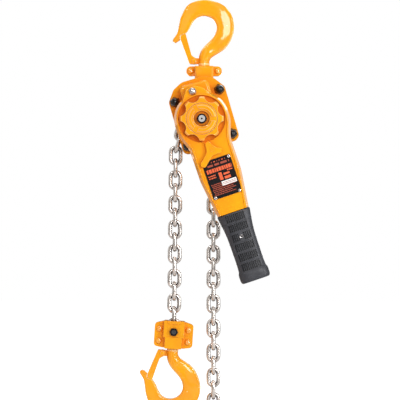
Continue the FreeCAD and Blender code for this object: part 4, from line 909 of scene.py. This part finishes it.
# Name, place, width, height, power, colour and whether gloss mirrors it
LIGHTS = [
    ("front_box", (0.62, -2.2, 0.28), 0.5, 0.9, 18.0, (1, 1, 1), True),
    ("right_strip", (1.3, -1.2, -0.1), 0.12, 1.3, 11.0, (1, 1, 1), True),
    ("left_strip", (-0.9, -1.5, 0.9), 0.06, 0.6, 4.0, (1, 1, 1), True),
    ("left_fill", (-1.9, -0.8, -0.3), 1.0, 1.4, 11.0, (1.0, 0.50, 0.26), False),
    ("top_box", (0.1, -0.2, 1.4), 1.0, 0.7, 7.0, (1, 1, 1), True),
    ("back_box", (0.2, 1.8, 0.5), 1.4, 1.4, 12.0, (1, 1, 1), True),
]


def build_stage():
    """A white floor that keeps the object's shadow."""
    form = bmesh.new()
    bmesh.ops.create_grid(form, x_segments=1, y_segments=1, size=FLOOR_SIZE)
    mesh = bpy.data.meshes.new("floor")
    form.to_mesh(mesh)
    form.free()
    floor = bpy.data.objects.new("floor", mesh)
    floor.location = (0, 0, cad_box[0].z - FLOOR_DROP)
    bpy.context.scene.collection.objects.link(floor)
    finish = Finish("floor_paper", Roughness=0.9, Specular_IOR_Level=0.0)
    grain = finish.between(finish.noise(40.0), low=0.3, high=0.7)
    finish.colour(finish.mix(grain, (0.80, 0.80, 0.80, 1), (0.84, 0.84, 0.84, 1)))
    finish.shader.inputs["Emission Color"].default_value = (1, 1, 1, 1)
    path = finish.node("ShaderNodeLightPath")
    glow = finish.math("MULTIPLY", path.outputs["Is Camera Ray"], FLOOR_GLOW)
    finish.link(glow, finish.shader.inputs["Emission Strength"])
    mesh.materials.append(finish.material)


def build_world():
    """A white backdrop for the camera, an even light, and a room of bright and dark walls for the gloss."""
    world = bpy.data.worlds.new("studio")
    bpy.context.scene.world = world
    world.use_nodes = True
    studio = Graph(world.node_tree)
    split = studio.node("ShaderNodeSeparateXYZ")
    studio.link(studio.node("ShaderNodeTexCoord").outputs["Generated"], split.inputs["Vector"])
    bearing = studio.math("ARCTAN2", split.outputs["X"], split.outputs["Y"])
    quarters = studio.math("MULTIPLY", bearing, 2 / math.pi)
    walls = studio.math("PINGPONG", quarters, 0.5)
    ramp = studio.node("ShaderNodeValToRGB")
    studio.link(studio.math("MULTIPLY", walls, 2.0), ramp.inputs["Fac"])
    stops = ramp.color_ramp.elements
    for share, colour in GLOSS_STOPS[1:-1]:
        stops.new(share)
    for stop, (share, colour) in zip(stops, GLOSS_STOPS):
        stop.position, stop.color = share, colour
    path = studio.node("ShaderNodeLightPath")
    even = (WORLD_LEVEL, WORLD_LEVEL, WORLD_LEVEL, 1)
    lit = studio.mix(path.outputs["Is Glossy Ray"], even, ramp.outputs["Color"])
    seen = studio.math("MAXIMUM", path.outputs["Is Camera Ray"], path.outputs["Is Transmission Ray"])
    studio.link(studio.mix(seen, lit, (1, 1, 1, 1)), world.node_tree.nodes["Background"].inputs["Color"])


def build_light(name, place, width, height, power, colour, mirrored):
    """A soft box that faces the middle of the hoist."""
    lamp = bpy.data.lights.new(name, "AREA")
    lamp.shape = "RECTANGLE"
    lamp.size, lamp.size_y = width, height
    lamp.energy = power
    lamp.color = colour
    made = bpy.data.objects.new(name, lamp)
    made.location = place
    made.visible_glossy = mirrored
    made.rotation_mode = "QUATERNION"
    made.rotation_quaternion = (VIEW_CENTRE - Vector(place)).to_track_quat("-Z", "Y")
    bpy.context.scene.collection.objects.link(made)


def build_camera():
    data = bpy.data.cameras.new("camera")
    data.lens, data.sensor_width = LENS, SENSOR
    data.clip_end = 50.0
    camera = bpy.data.objects.new("camera", data)
    camera.location = VIEW_CENTRE - Vector((0, FIELD * LENS / SENSOR, 0))
    camera.rotation_euler = (math.pi / 2, 0, 0)
    bpy.context.scene.collection.objects.link(camera)
    bpy.context.scene.camera = camera


build_stage()
build_world()
for light in LIGHTS:
    build_light(*light)
build_camera()
bpy.context.scene.view_settings.view_transform = "Standard"
